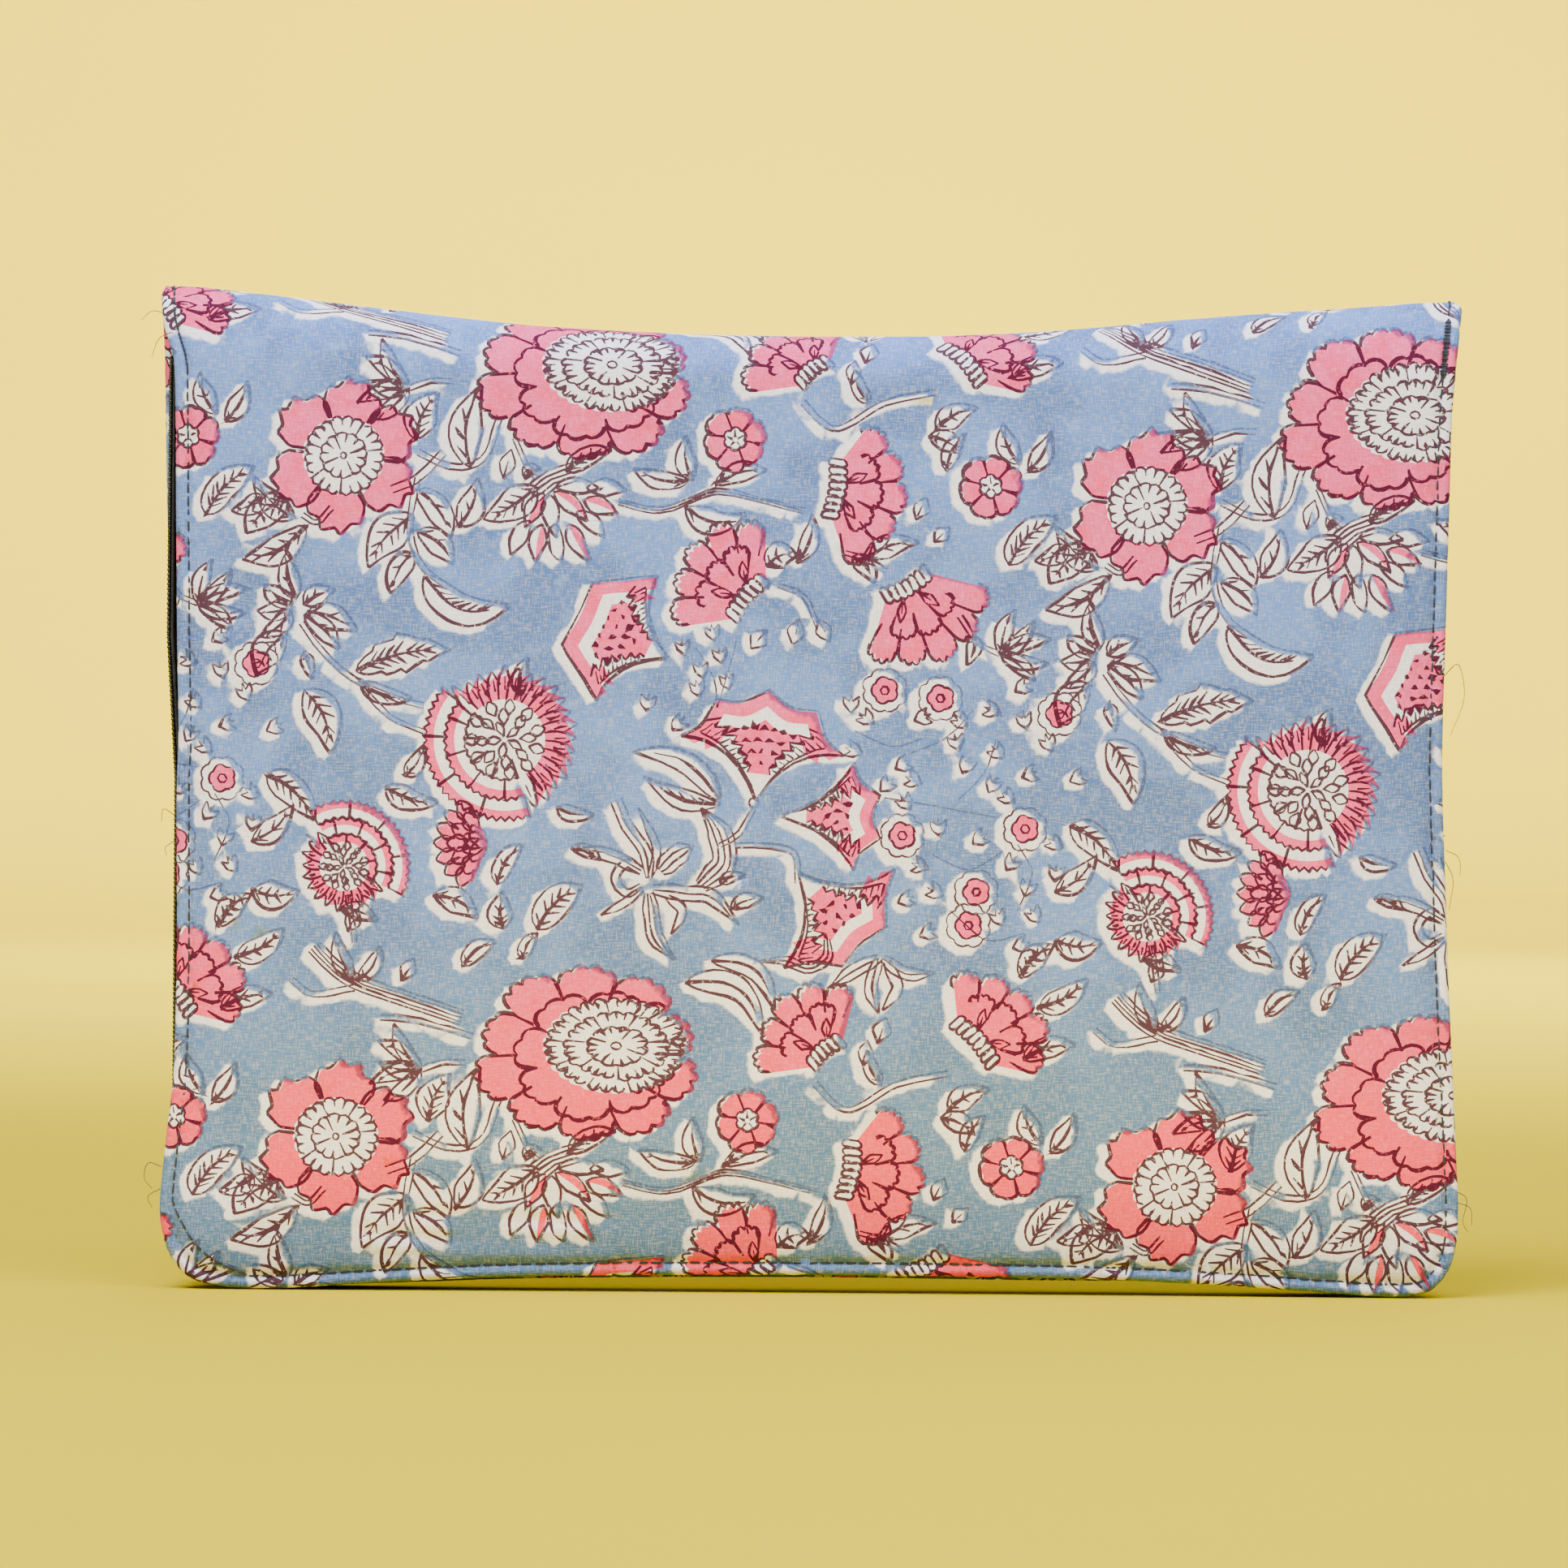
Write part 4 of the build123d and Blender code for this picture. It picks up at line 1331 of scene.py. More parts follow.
    def on_lines(self, places: np.ndarray, strokes: np.ndarray, boxes: np.ndarray) -> np.ndarray:
        """Tells which places lie on a printed line.

        Args:
            places: complex places.
            strokes: numbers of the lines to try.
            boxes: every line's box.

        Returns:
            A true or false value for each place.
        """
        found = np.zeros(len(places), bool)
        for k in strokes:
            near = np.nonzero(within(places, boxes[k]) & ~found)[0]
            if not len(near):
                continue
            p, half = self.strokes[k]
            chord = np.diff(p)
            t = ((places[near, None] - p[:-1]) * chord.conj()).real / np.maximum(np.abs(chord) ** 2, 1e-12)
            t = np.clip(t, 0, 1)
            away = np.abs(places[near, None] - p[:-1] - chord * t)
            found[near[(away < half[:-1] + np.diff(half) * t).any(1)]] = True
        return found

    def ink(self) -> None:
        """Works out which faces are pink and how far each point is from the nearest reserved motif."""
        centre = self.flat[self.faces].mean(1)
        self.pink = np.zeros(len(centre), bool)
        for p, on in self.fills:
            index = np.nonzero(within(centre, box_of(p)))[0]
            hit = index[inside(centre[index], p)]
            self.pink[hit] = on
        marks = []
        for p in self.masses:
            for a, b in zip(p, np.roll(p, -1)):
                marks.append(np.linspace(a, b, max(2, int(abs(b - a) / 0.8) + 1))[:-1])
        marks = np.concatenate(marks) + GROUND_SHIFT
        tree = kdtree.KDTree(len(marks))
        for k, q in enumerate(marks):
            tree.insert((q.real, q.imag, 0), k)
        tree.balance()
        self.reach = np.array([min(tree.find((q.real, q.imag, 0))[2], 8.0) for q in self.flat])
        reserved = np.zeros(len(self.flat), bool)
        for p in self.masses:
            index = np.nonzero(within(self.flat, box_of(p + GROUND_SHIFT)) & ~reserved)[0]
            reserved[index[inside(self.flat[index], p + GROUND_SHIFT)]] = True
        self.reach[reserved] = -0.5 - self.reach[reserved]


# ---------------------------------------------------------------- finishes


def tint(red: int, green: int, blue: int) -> tuple[float, float, float, float]:
    """Turns an everyday 0 to 255 colour into the shader's linear one."""
    shares = (red / 255, green / 255, blue / 255)
    return tuple(((c + 0.055) / 1.055) ** 2.4 if c > 0.04 else c / 12.92 for c in shares) + (1.0,)


class Shader:
    """Short ways to lay out a material's nodes."""

    def __init__(self, name: str, roughness: float, **sockets: float | tuple) -> None:
        """Starts a material.

        Args:
            name: finish name.
            roughness: of its surface.
            sockets: other values of the surface, by socket name.
        """
        self.material = bpy.data.materials.new("made_" + name)
        self.material.use_nodes = True
        self.tree = self.material.node_tree
        self.surface = self.tree.nodes["Principled BSDF"]
        self.surface.inputs["Roughness"].default_value = roughness
        for key, value in sockets.items():
            self.surface.inputs[key.replace("_", " ")].default_value = value

    def add(self, kind: str, inputs: dict | None = None, **settings: object) -> bpy.types.Node:
        """Adds a node.

        Args:
            kind: the node's type, without its ShaderNode prefix.
            inputs: value or socket for each named input.
            settings: the node's own settings.

        Returns:
            The new node.
        """
        node = self.tree.nodes.new("ShaderNode" + kind)
        for key, value in settings.items():
            setattr(node, key, value)
        for key, value in (inputs or {}).items():
            self.join(node.inputs[key], value)
        return node

    def join(self, socket: bpy.types.NodeSocket, value: object) -> None:
        """Links a socket into another, or sets its value.

        Args:
            socket: the input.
            value: an output socket, a number or a colour.
        """
        if isinstance(value, bpy.types.NodeSocket):
            self.tree.links.new(value, socket)
        else:
            socket.default_value = value

    def math(self, operation: str, a: object, b: object) -> bpy.types.NodeSocket:
        """Adds a sum of two values."""
        return self.add("Math", {0: a, 1: b}, operation=operation).outputs[0]

    def mix(self, factor: object, a: object, b: object, blend: str = "MIX") -> bpy.types.NodeSocket:
        """Mixes two colours.

        Args:
            factor: share of the second colour.
            a, b: the two colours.
            blend: how they mix.

        Returns:
            The mixed colour.
        """
        node = self.add("Mix", data_type="RGBA", blend_type=blend)
        for index, value in ((0, factor), (6, a), (7, b)):
            self.join(node.inputs[index], value)
        return node.outputs[2]

    def step(self, value: object, low: float, high: float, start: float = 0.0,
             end: float = 1.0) -> bpy.types.NodeSocket:
        """Turns a value smoothly from start to end between low and high."""
        inputs = {"Value": value, "From Min": low, "From Max": high, "To Min": start, "To Max": end}
        return self.add("MapRange", inputs, interpolation_type="SMOOTHSTEP").outputs[0]

    def noise(self, vector: object, scale: float, detail: float = 3.0,
              stretch: tuple | None = None) -> bpy.types.NodeSocket:
        """Adds a soft noise over some coordinates.

        Args:
            vector: the coordinates.
            scale: grains in a unit.
            detail: fineness inside the grains.
            stretch: factors on the coordinates.

        Returns:
            The noise's value.
        """
        if stretch:
            vector = self.add("VectorMath", {0: vector, 1: stretch}, operation="MULTIPLY").outputs[0]
        return self.add("TexNoise", {"Vector": vector, "Scale": scale, "Detail": detail}).outputs[0]

    def carried(self, name: str, output: str = "Vector") -> bpy.types.NodeSocket:
        """Reads a value that the mesh carries."""
        return self.add("Attribute", attribute_name=name).outputs[output]

    def place(self) -> bpy.types.NodeSocket:
        """Reads the place in the piece, in metres."""
        return self.add("TexCoord").outputs["Object"]

    def bump(self, height: object, strength: float, distance: float) -> None:
        """Raises the surface by a height."""
        node = self.add("Bump", {"Height": height, "Strength": strength, "Distance": distance})
        self.join(self.surface.inputs["Normal"], node.outputs[0])

    def colour(self, value: object) -> None:
        """Sets the surface's colour."""
        self.join(self.surface.inputs["Base Color"], value)


@dataclass(frozen=True)
class BlockPrint:
    """Cotton printed by hand: a blue ground round reserved motifs, pink fills and maroon lines, with painted
    shade and a painted yellow floor bounce towards the bottom of the front.
    """

    white: tuple = tint(245, 242, 252)
    ground: tuple = tint(92, 132, 207)
    ground_deep: tuple = tint(72, 107, 173)
    ground_worn: tuple = tint(120, 154, 222)
    # Ground colour under painted shade and a painted yellow bounce from the floor, low on the front panel
    ground_bounce_shade: tuple = tint(70, 110, 158)
    pink: tuple = tint(255, 100, 150)
    pink_deep: tuple = tint(255, 82, 128)
    # Pink under painted shade and a painted yellow bounce from the floor, low on the front panel
    pink_bounce_shade: tuple = tint(255, 78, 92)
    outline: tuple = tint(62, 0, 38)
    outline_under: tuple = tint(44, 42, 82)
    gap_shade: tuple = tint(226, 226, 228)
    # Cloth heights on the front panel where the painted shade and bounce begin and where they are full
    bounce_shade_from: float = 125.0
    bounce_shade_to: float = 20.0

    def make(self) -> bpy.types.Material:
        """Builds the material.

        Returns:
            The material.
        """
        s = Shader("printed_cotton", 0.88, Sheen_Weight=0.05, Sheen_Roughness=0.6, Specular_IOR_Level=0.15)
        cloth = s.carried("cloth")
        reach, line, pink = (s.carried(n, "Fac") for n in ("reach", "line", "pink"))
        warp = s.noise(cloth, 1.0, 2.0, (2.7, 0.4, 1))
        weft = s.noise(cloth, 1.0, 2.0, (0.4, 2.5, 1))
        weave = s.math("ADD", s.math("MULTIPLY", warp, 0.5), s.math("MULTIPLY", weft, 0.5))
        patches = s.noise(cloth, 0.035, 3.0)
        blotch = s.noise(cloth, 0.16, 4.0)
        fine = s.noise(cloth, 0.9, 3.0)
        edge = s.math("ADD", reach, s.math("MULTIPLY", s.math("SUBTRACT", blotch, 0.5), 2.2))
        edge = s.math("ADD", edge, s.math("MULTIPLY", s.math("SUBTRACT", fine, 0.5), 1.0))
        blue = s.step(edge, 0.0, 1.1)
        blue = s.math("MULTIPLY", blue, s.step(weave, 0.34, 0.56, 0.68, 1.0))
        blue_over = s.math("MULTIPLY", blue, s.math("SUBTRACT", 1.0, s.math("MULTIPLY", pink, 0.3)))
        ground = s.mix(s.step(patches, 0.38, 0.62), self.ground, self.ground_deep)
        ground = s.mix(s.step(blotch, 0.52, 0.8, 0, 0.6), ground, self.ground_worn)
        # Painted shade and painted yellow floor bounce: the ground turns darker and yellower towards the
        # bottom of the front panel
        bounce_shade = s.step(s.add("SeparateXYZ", {0: cloth}).outputs["Y"], self.bounce_shade_from, self.bounce_shade_to)
        ground = s.mix(s.math("MULTIPLY", bounce_shade, 0.9), ground, self.ground_bounce_shade)
        base = s.mix(blue_over, self.white, ground)
        rose = s.mix(s.step(blotch, 0.4, 0.65), self.pink, self.pink_deep)
        # The same painted shade and yellow bounce laid on the pink
        rose = s.mix(s.math("MULTIPLY", bounce_shade, 0.9), rose, self.pink_bounce_shade)
        strength = s.math("MULTIPLY", pink, s.step(fine, 0.2, 0.5, 0.86, 1.0))
        base = s.mix(strength, base, rose, "MULTIPLY")
        mark = s.mix(blue, self.outline, self.outline_under)
        broken = s.step(s.math("ADD", fine, s.math("MULTIPLY", blue, -0.14)), 0.24, 0.42, 0.4, 1.0)
        cover = s.math("SUBTRACT", 0.97, s.math("MULTIPLY", blue, 0.36))
        base = s.mix(s.math("MULTIPLY", s.math("MULTIPLY", line, broken), cover), base, mark)
        gaps = s.mix(1.0, base, self.gap_shade, "MULTIPLY")
        s.colour(s.mix(s.step(weave, 0.34, 0.66), gaps, base))
        s.bump(weave, 0.55, 0.0004)
        return s.material


@dataclass(frozen=True)
class Weave:
    """Plain dyed cloth or tape, with threads both ways.

    Args of the fields: colours in shade and light, roughness, threads per millimetre, bump and sheen.
    """

    name: str
    dark: tuple
    light: tuple
    roughness: float = 0.8
    threads: float = 1.6
    bump: float = 0.5
    sheen: float = 0.1

    def make(self) -> bpy.types.Material:
        """Builds the material.

        Returns:
            The material.
        """
        s = Shader(self.name, self.roughness, Sheen_Weight=self.sheen, Specular_IOR_Level=0.35)
        cloth = s.carried("cloth")
        warp = s.noise(cloth, 1.0, 2.0, (self.threads, 0.12, 1))
        weft = s.noise(cloth, 1.0, 2.0, (0.12, self.threads, 1))
        weave = s.math("MULTIPLY", s.math("ADD", warp, weft), 0.5)
        s.colour(s.mix(s.step(weave, 0.38, 0.62), self.dark, self.light))
        s.bump(weave, self.bump, 0.0003)
        return s.material


@dataclass(frozen=True)
class Solid:
    """Nylon, thread, foam or metal: a base colour with speckle and fine relief."""

    name: str
    dark: tuple
    light: tuple
    roughness: float
    grain: float
    bump: float = 0.2
    metallic: float = 0.0
    sheen: float = 0.0
    wear: float = 0.0
    worn: tuple = tint(150, 148, 144)

    def make(self) -> bpy.types.Material:
        """Builds the material.

        Returns:
            The material.
        """
        s = Shader(self.name, self.roughness, Metallic=self.metallic, Sheen_Weight=self.sheen)
        place = s.place()
        grain = s.noise(place, self.grain, 4.0)
        colour = s.mix(s.step(grain, 0.35, 0.65), self.dark, self.light)
        if self.wear:
            rub = s.step(s.noise(place, self.grain * 0.22, 5.0), 0.5, 0.68, 0, self.wear)
            colour = s.mix(rub, colour, self.worn)
            rough = s.step(grain, 0.3, 0.7, self.roughness - 0.08, self.roughness + 0.12)
            s.join(s.surface.inputs["Roughness"], rough)
        s.colour(colour)
        s.bump(grain, self.bump, 0.0002)
        return s.material


class Finish(Enum):
    """Finishes by the slot that they fill."""

    printed_cotton = BlockPrint()
    foam = Solid("foam", tint(178, 176, 170), tint(206, 204, 198), 0.95, 900, 0.6)
    black_lining = Weave("black_lining", tint(12, 12, 14), tint(30, 30, 34), 0.6, 2.4, 0.3, 0.08)
    zipper_tape = Weave("zipper_tape", tint(12, 12, 14), tint(38, 38, 42), 0.85, 1.5, 0.7, 0.15)
    nylon_coil = Solid("nylon_coil", tint(12, 12, 13), tint(26, 26, 28), 0.38, 700, 0.15)
    navy_thread = Solid("navy_thread", tint(10, 12, 28), tint(26, 30, 58), 0.6, 2600, 0.5, 0.0, 0.2)
    dark_metal = Solid("dark_metal", tint(34, 34, 37), tint(56, 56, 58), 0.4, 420, 0.12, 0.35, 0.0, 0.7)

    def on(self, piece: bpy.types.Object) -> bpy.types.Object:
        """Puts the finish on a piece.

        Args:
            piece: a mesh object.

        Returns:
            The same piece.
        """
        made = bpy.data.materials.get("made_" + self.name) or self.value.make()
        piece.data.materials.clear()
        piece.data.materials.append(made)
        return piece


# ---------------------------------------------------------------- mesh making


@dataclass
class Mesh:
    """Points in millimetres and the faces between them, gathered for one piece."""

    points: list = field(default_factory=list)
    faces: list = field(default_factory=list)
    cloth: list = field(default_factory=list)

    def loft(self, rings: np.ndarray, closed: bool = True) -> None:
        """Adds a skin over rings of points, with ends closed.

        Args:
            rings: array of ring, point, coordinate.
            closed: whether each ring joins up and the ends are capped.
        """
        count, around = rings.shape[:2]
        base = len(self.points)
        self.points += list(rings.reshape(-1, 3))
        last = around if closed else around - 1
        for i in range(count - 1):
            for j in range(last):
                a, b = base + i * around + j, base + i * around + (j + 1) % around
                self.faces.append((a, b, b + around, a + around))
        if closed:
            self.faces.append(tuple(range(base + around - 1, base - 1, -1)))
            self.faces.append(tuple(base + (count - 1) * around + j for j in range(around)))

    def tube(self, line: np.ndarray, radius: float | np.ndarray, around: int = 6) -> None:
        """Adds a thread along a line.

        Args:
            line: array of x, y, z points.
            radius: thread radius, one value or one per point.
            around: points round the thread.
        """
        way = np.gradient(line, axis=0)
        way /= np.maximum(np.linalg.norm(way, axis=1, keepdims=True), 1e-9)
        aside = np.cross(way, (0.13, 0.98, 0.17))
        aside /= np.linalg.norm(aside, axis=1, keepdims=True)
        other = np.cross(way, aside)
        turn = np.arange(around) * 2 * math.pi / around
        size = np.broadcast_to(np.asarray(radius, float), len(line))[:, None, None]
        ring = aside[:, None] * np.cos(turn)[None, :, None] + other[:, None] * np.sin(turn)[None, :, None]
        self.loft(line[:, None] + size * ring)

    def build(self, name: str, finish: Finish, carried: dict | None = None) -> bpy.types.Object:
        """Makes the Blender object.

        Args:
            name: the piece's name.
            finish: its finish.
            carried: named arrays that the mesh carries, one value per point or per face.

        Returns:
            The new object.
        """
        data = bpy.data.meshes.new(name)
        points = np.asarray(self.points, float).reshape(-1, 3)
        data.from_pydata((points * MM).tolist(), [], [list(map(int, f)) for f in self.faces])
        cloth = np.asarray(self.cloth, float) if len(self.cloth) else points[:, [0, 2, 1]]
        data.attributes.new("cloth", "FLOAT_VECTOR", "POINT").data.foreach_set("vector", cloth.ravel())
        for key, values in (carried or {}).items():
            domain = "POINT" if len(values) == len(points) else "FACE"
            data.attributes.new(key, "FLOAT", domain).data.foreach_set("value", np.asarray(values, float))
        data.shade_smooth()
        data.update()
        piece = bpy.data.objects.new(name, data)
        bpy.context.scene.collection.objects.link(piece)
        log.info("%s: %d points, %d faces", name, len(data.vertices), len(data.polygons))
        return finish.on(piece)


def turn_outward(piece: bpy.types.Object) -> None:
    """Makes the faces of a closed piece look outward.

    Args:
        piece: a mesh object.
    """
    work = bmesh.new()
    work.from_mesh(piece.data)
    bmesh.ops.recalc_face_normals(work, faces=work.faces)
    work.to_mesh(piece.data)
    work.free()


def bend(piece: bpy.types.Object) -> None:
    """Bakes a piece's placement into its mesh."""
    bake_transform(piece)


def patch(shape: PanelShape, inward: float, top: float, columns: int, rows: int) -> np.ndarray:
    """Grid that fills a panel inside its edge.

    Args:
        shape: the panel.
        inward: distance from the edge.
        top: cloth height of the last row.
        columns, rows: size of the grid.

    Returns:
        Complex places, one row after another from the bottom.
    """
    line = shape.offset_line(inward, 1.0)
    line = line[line.imag < top]
    a, b = int((line.real + line.imag).argmin()), int((line.real - line.imag).argmax())

    def even(part: np.ndarray, count: int) -> np.ndarray:
        """Spaces a number of places evenly along a line."""
        length = np.concatenate([[0], np.cumsum(np.abs(np.diff(part)))])
        at = np.linspace(0, length[-1], count)
        return np.interp(at, length, part.real) + 1j * np.interp(at, length, part.imag)

    ends = complex(line[0].real, top), complex(line[-1].real, top)
    left, right = even(np.append(line[a::-1], ends[0]), rows), even(np.append(line[b:], ends[1]), rows)
    low, high = even(line[a : b + 1], columns), even(np.array(ends), columns)
    u, v = np.linspace(0, 1, columns)[None, :], np.linspace(0, 1, rows)[:, None]
    corner = (1 - u) * (1 - v) * low[0] + u * (1 - v) * low[-1] + (1 - u) * v * high[0] + u * v * high[-1]
    return (1 - v) * low[None] + v * high[None] + (1 - u) * left[:, None] + u * right[:, None] - corner


def grid_faces(rows: int, columns: int, base: int = 0, flip: bool = False) -> list:
    """Faces of a grid of points.

    Args:
        rows, columns: size of the grid.
        base: number of the first point.
        flip: turns the faces over.

    Returns:
        The faces.
    """
    starts = [base + i * columns + j for i in range(rows - 1) for j in range(columns - 1)]
    quads = [(k, k + 1, k + columns + 1, k + columns) for k in starts]
    return [q[::-1] for q in quads] if flip else quads


# ---------------------------------------------------------------- the sleeve's parts


@dataclass
class PaddedPanel:
    """One half of the sleeve: printed cover, foam pad, black lining, topstitch and corner tacks."""

    panel: Panel
    block: Block
    stitch_pitch: float = 3.5
    stitch_length: float = 3.0
    thread_radius: float = 0.3
    pad_gap: float = 1.5
    pad_inset: float = 3.6
    pad_top: float = 250.0
    lining_depth: float = 7.45
    lining_inset: float = 1.2
    lining_top: float = 240.5
    lining_crest: float = 247.2
    tack_low: float = 247.5
    tack_high: float = 262.0
    tack: tuple = (0.22, 0.85)
    thin_tack: tuple = (0.16, 0.3)

    def __post_init__(self) -> None:
        """Works out the panel's shape, with the sag of its simulated cloth."""
        self.word = self.panel.name.lower()
        self.body = self.word + "_panel"
        self.shape = PanelShape(self.panel)
        self.shape.sag = self.settle()
        self.rng = np.random.default_rng(40 + self.panel.value)

    def settle(self, columns: int = 60, rows: int = 45, cap: float = 2.2) -> np.ndarray:
        """Simulates the cotton over its foam, held along the seam and the fold.

        Args:
            columns, rows: size of the simulated cloth.
            cap: most that the cloth may move.

        Returns:
            Depth added by the simulation, row by row.
        """
        xs, vs = np.linspace(-SAG_SIDE, SAG_SIDE, columns), np.linspace(SAG_LOW, SAG_HIGH, rows)
        flat = (xs[None, :] + 1j * vs[:, None]).ravel()
        start = self.shape.place(flat)
        data = bpy.data.meshes.new("settling")
        data.from_pydata((start * MM).tolist(), [], grid_faces(rows, columns, 0, self.panel is Panel.BACK))
        cloth = bpy.data.objects.new("settling", data)
        bpy.context.scene.collection.objects.link(cloth)
        _, inward = self.shape.nearest(flat)
        held = cloth.vertex_groups.new(name="held")
        held.add([int(k) for k in np.nonzero((inward < 4) | (flat.imag > 252))[0]], 1.0, "REPLACE")
        settings = cloth.modifiers.new("cloth", "CLOTH").settings
        settings.quality = 6
        settings.mass = 0.15
        settings.tension_stiffness = settings.compression_stiffness = 18
        settings.shear_stiffness = 8
        settings.bending_stiffness = 0.6
        settings.shrink_min = -0.018
        settings.use_pressure = True
        settings.uniform_pressure_force = 4
        settings.vertex_group_mass = "held"
        settings.effector_weights.gravity = 0
        for frame in range(1, 21):
            bpy.context.scene.frame_set(frame)
        done = cloth.evaluated_get(bpy.context.evaluated_depsgraph_get()).to_mesh()
        end = np.array([v.co for v in done.vertices]) / MM
        moved = ((end[:, 1] - start[:, 1]) * self.panel.value).reshape(rows, columns)
        log.info("%s cloth moved %.2f to %.2f mm", self.word, moved.min(), moved.max())
        bpy.context.scene.frame_set(1)
        bpy.data.objects.remove(cloth)
        moved = moved - moved.mean()
        return cap * np.tanh(moved / max(1e-6, moved.std() * 2.2)) * 0.75

    def cover(self) -> bpy.types.Object:
        """Makes the printed cotton cover.

        Returns:
            The cover.
        """
        cloth = PrintedCloth(self.shape, self.block)
        mesh = Mesh()
        mesh.points = self.shape.place(self.shape.cloth_to_panel(cloth.flat))
        mesh.faces = cloth.faces.tolist()
        mesh.cloth = np.stack([cloth.flat.real, cloth.flat.imag, np.zeros(len(cloth.flat))], 1)
        carried = {"reach": cloth.reach, "line": cloth.line, "pink": cloth.pink}
        piece = mesh.build(f"cotton_cover_{self.word}", Finish.printed_cotton, carried=carried)
        layout = piece.data.uv_layers.new(name="OFBake")
        corner = np.zeros(len(piece.data.loops), int)
        piece.data.loops.foreach_get("vertex_index", corner)
        span, at = cloth.high - cloth.low, cloth.flat - cloth.low
        uv = np.stack([at.real, at.imag], 1) / max(span.real, span.imag) * 0.98 + 0.01
        layout.data.foreach_set("uv", uv[corner].ravel())
        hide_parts(f"{self.word}_cover")
        return piece

    def pad(self) -> bpy.types.Object:
        """Makes the foam pad between cover and lining.

        Returns:
            The pad.
        """
        columns, rows = 70, 54
        flat = patch(self.shape, self.pad_inset, self.pad_top, columns, rows)
        outer = self.shape.place(flat.ravel(), -self.pad_gap)
        inner = outer.copy()
        inner[:, 1] = self.panel.value * (self.lining_depth + 0.8)
        outer[:, 1] = self.panel.value * np.maximum(np.abs(outer[:, 1]), self.lining_depth + 1.2)
        mesh = Mesh()
        mesh.points = np.concatenate([outer, inner])
        mesh.faces = grid_faces(rows, columns) + grid_faces(rows, columns, rows * columns, True)
        rim = list(range(columns)) + [i * columns + columns - 1 for i in range(1, rows)]
        rim += [(rows - 1) * columns + j for j in range(columns - 2, -1, -1)]
        rim += [i * columns for i in range(rows - 2, 0, -1)]
        n = rows * columns
        mesh.faces += [(a, b, b + n, a + n) for a, b in zip(rim, rim[1:] + rim[:1])]
        piece = mesh.build(f"foam_pad_{self.word}", Finish.foam)
        turn_outward(piece)
        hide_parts(f"{self.word}_padding")
        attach(piece, self.body)
        return piece

    def lining(self) -> bpy.types.Object:
        """Makes the black lining, which turns over under the fold to meet the other half's.

        Returns:
            The lining.
        """
        columns, rows, turn_rows = 86, 60, 7
        top, crest = self.lining_top, self.lining_crest
        flat = patch(self.shape, self.lining_inset, top, columns, rows)
        x, z = flat.real, flat.imag
        _, inward = self.shape.nearest(flat.ravel())
        soft = np.clip((inward.reshape(x.shape) - 4) / 14, 0, 1) * np.clip((top - z) / 12, 0, 1)
        wave = 0.3 * smooth_noise(x, z, 70 + self.panel.value, 46) + 0.12 * smooth_noise(x, z, 80, 13)
        sheet = [np.stack([x, self.panel.value * (self.lining_depth + soft * wave), z], 2)]
        for k in range(1, turn_rows):
            angle = math.pi / 2 * k / (turn_rows - 1)
            y = self.panel.value * self.lining_depth * math.cos(angle) * np.ones(columns)
            z = np.full(columns, top + (crest - top) * math.sin(angle))
            sheet.append(np.stack([x[-1], y, z], 1)[None])
        sheet = np.concatenate(sheet)
        mesh = Mesh()
        mesh.points = sheet.reshape(-1, 3)
        mesh.faces = grid_faces(len(sheet), columns, 0, self.panel is Panel.FRONT)
        piece = mesh.build(f"lining_{self.word}", Finish.black_lining)
        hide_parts(f"{self.word}_lining")
        return piece

    def stitches(self) -> bpy.types.Object:
        """Makes the row of topstitches, cutting straight across the lower left corner, with its loose ends.

        Returns:
            The topstitch.
        """
        line = self.shape.offset_line(STITCH_INSET, 0.5)
        corner = (line.real < -150) & (line.imag < 24)
        if self.panel is Panel.FRONT:
            a, b = line[corner][0], line[corner][-1]
            t = np.linspace(0, 1, corner.sum())
            straight = a + (b - a) * t
            line[corner] = line[corner] * 0.45 + straight * 0.55
        length = np.concatenate([[0], np.cumsum(np.abs(np.diff(line)))])
        starts = np.arange(1.0, length[-1] - self.stitch_pitch, self.stitch_pitch)
        t = np.linspace(0, 1, 7)
        slip = self.rng.uniform(-0.15, 0.15, (len(starts), 1))
        at = starts[:, None] + t[None, :] * self.stitch_length + slip
        flat = np.interp(at, length, line.real) + 1j * np.interp(at, length, line.imag)
        flat = flat + self.rng.normal(0, 0.06, (len(starts), 1))
        lift = 0.05 + 0.3 * np.sin(math.pi * t)[None, :] ** 0.6 * np.ones((len(starts), 1))
        lift[:, 0] = lift[:, -1] = -0.45
        places = self.shape.place(flat.ravel(), lift.ravel()).reshape(len(starts), len(t), 3)
        mesh = Mesh()
        for stitch in places:
            mesh.tube(stitch, self.thread_radius * np.array([0.8, 1, 1, 1.05, 1, 1, 0.8]))
        if self.panel is Panel.FRONT:
            self.loose_ends(mesh)
        piece = mesh.build(f"topstitch_{self.word}", Finish.navy_thread)
        turn_outward(piece)
        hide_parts(f"{self.word}_topstitch")
        return piece

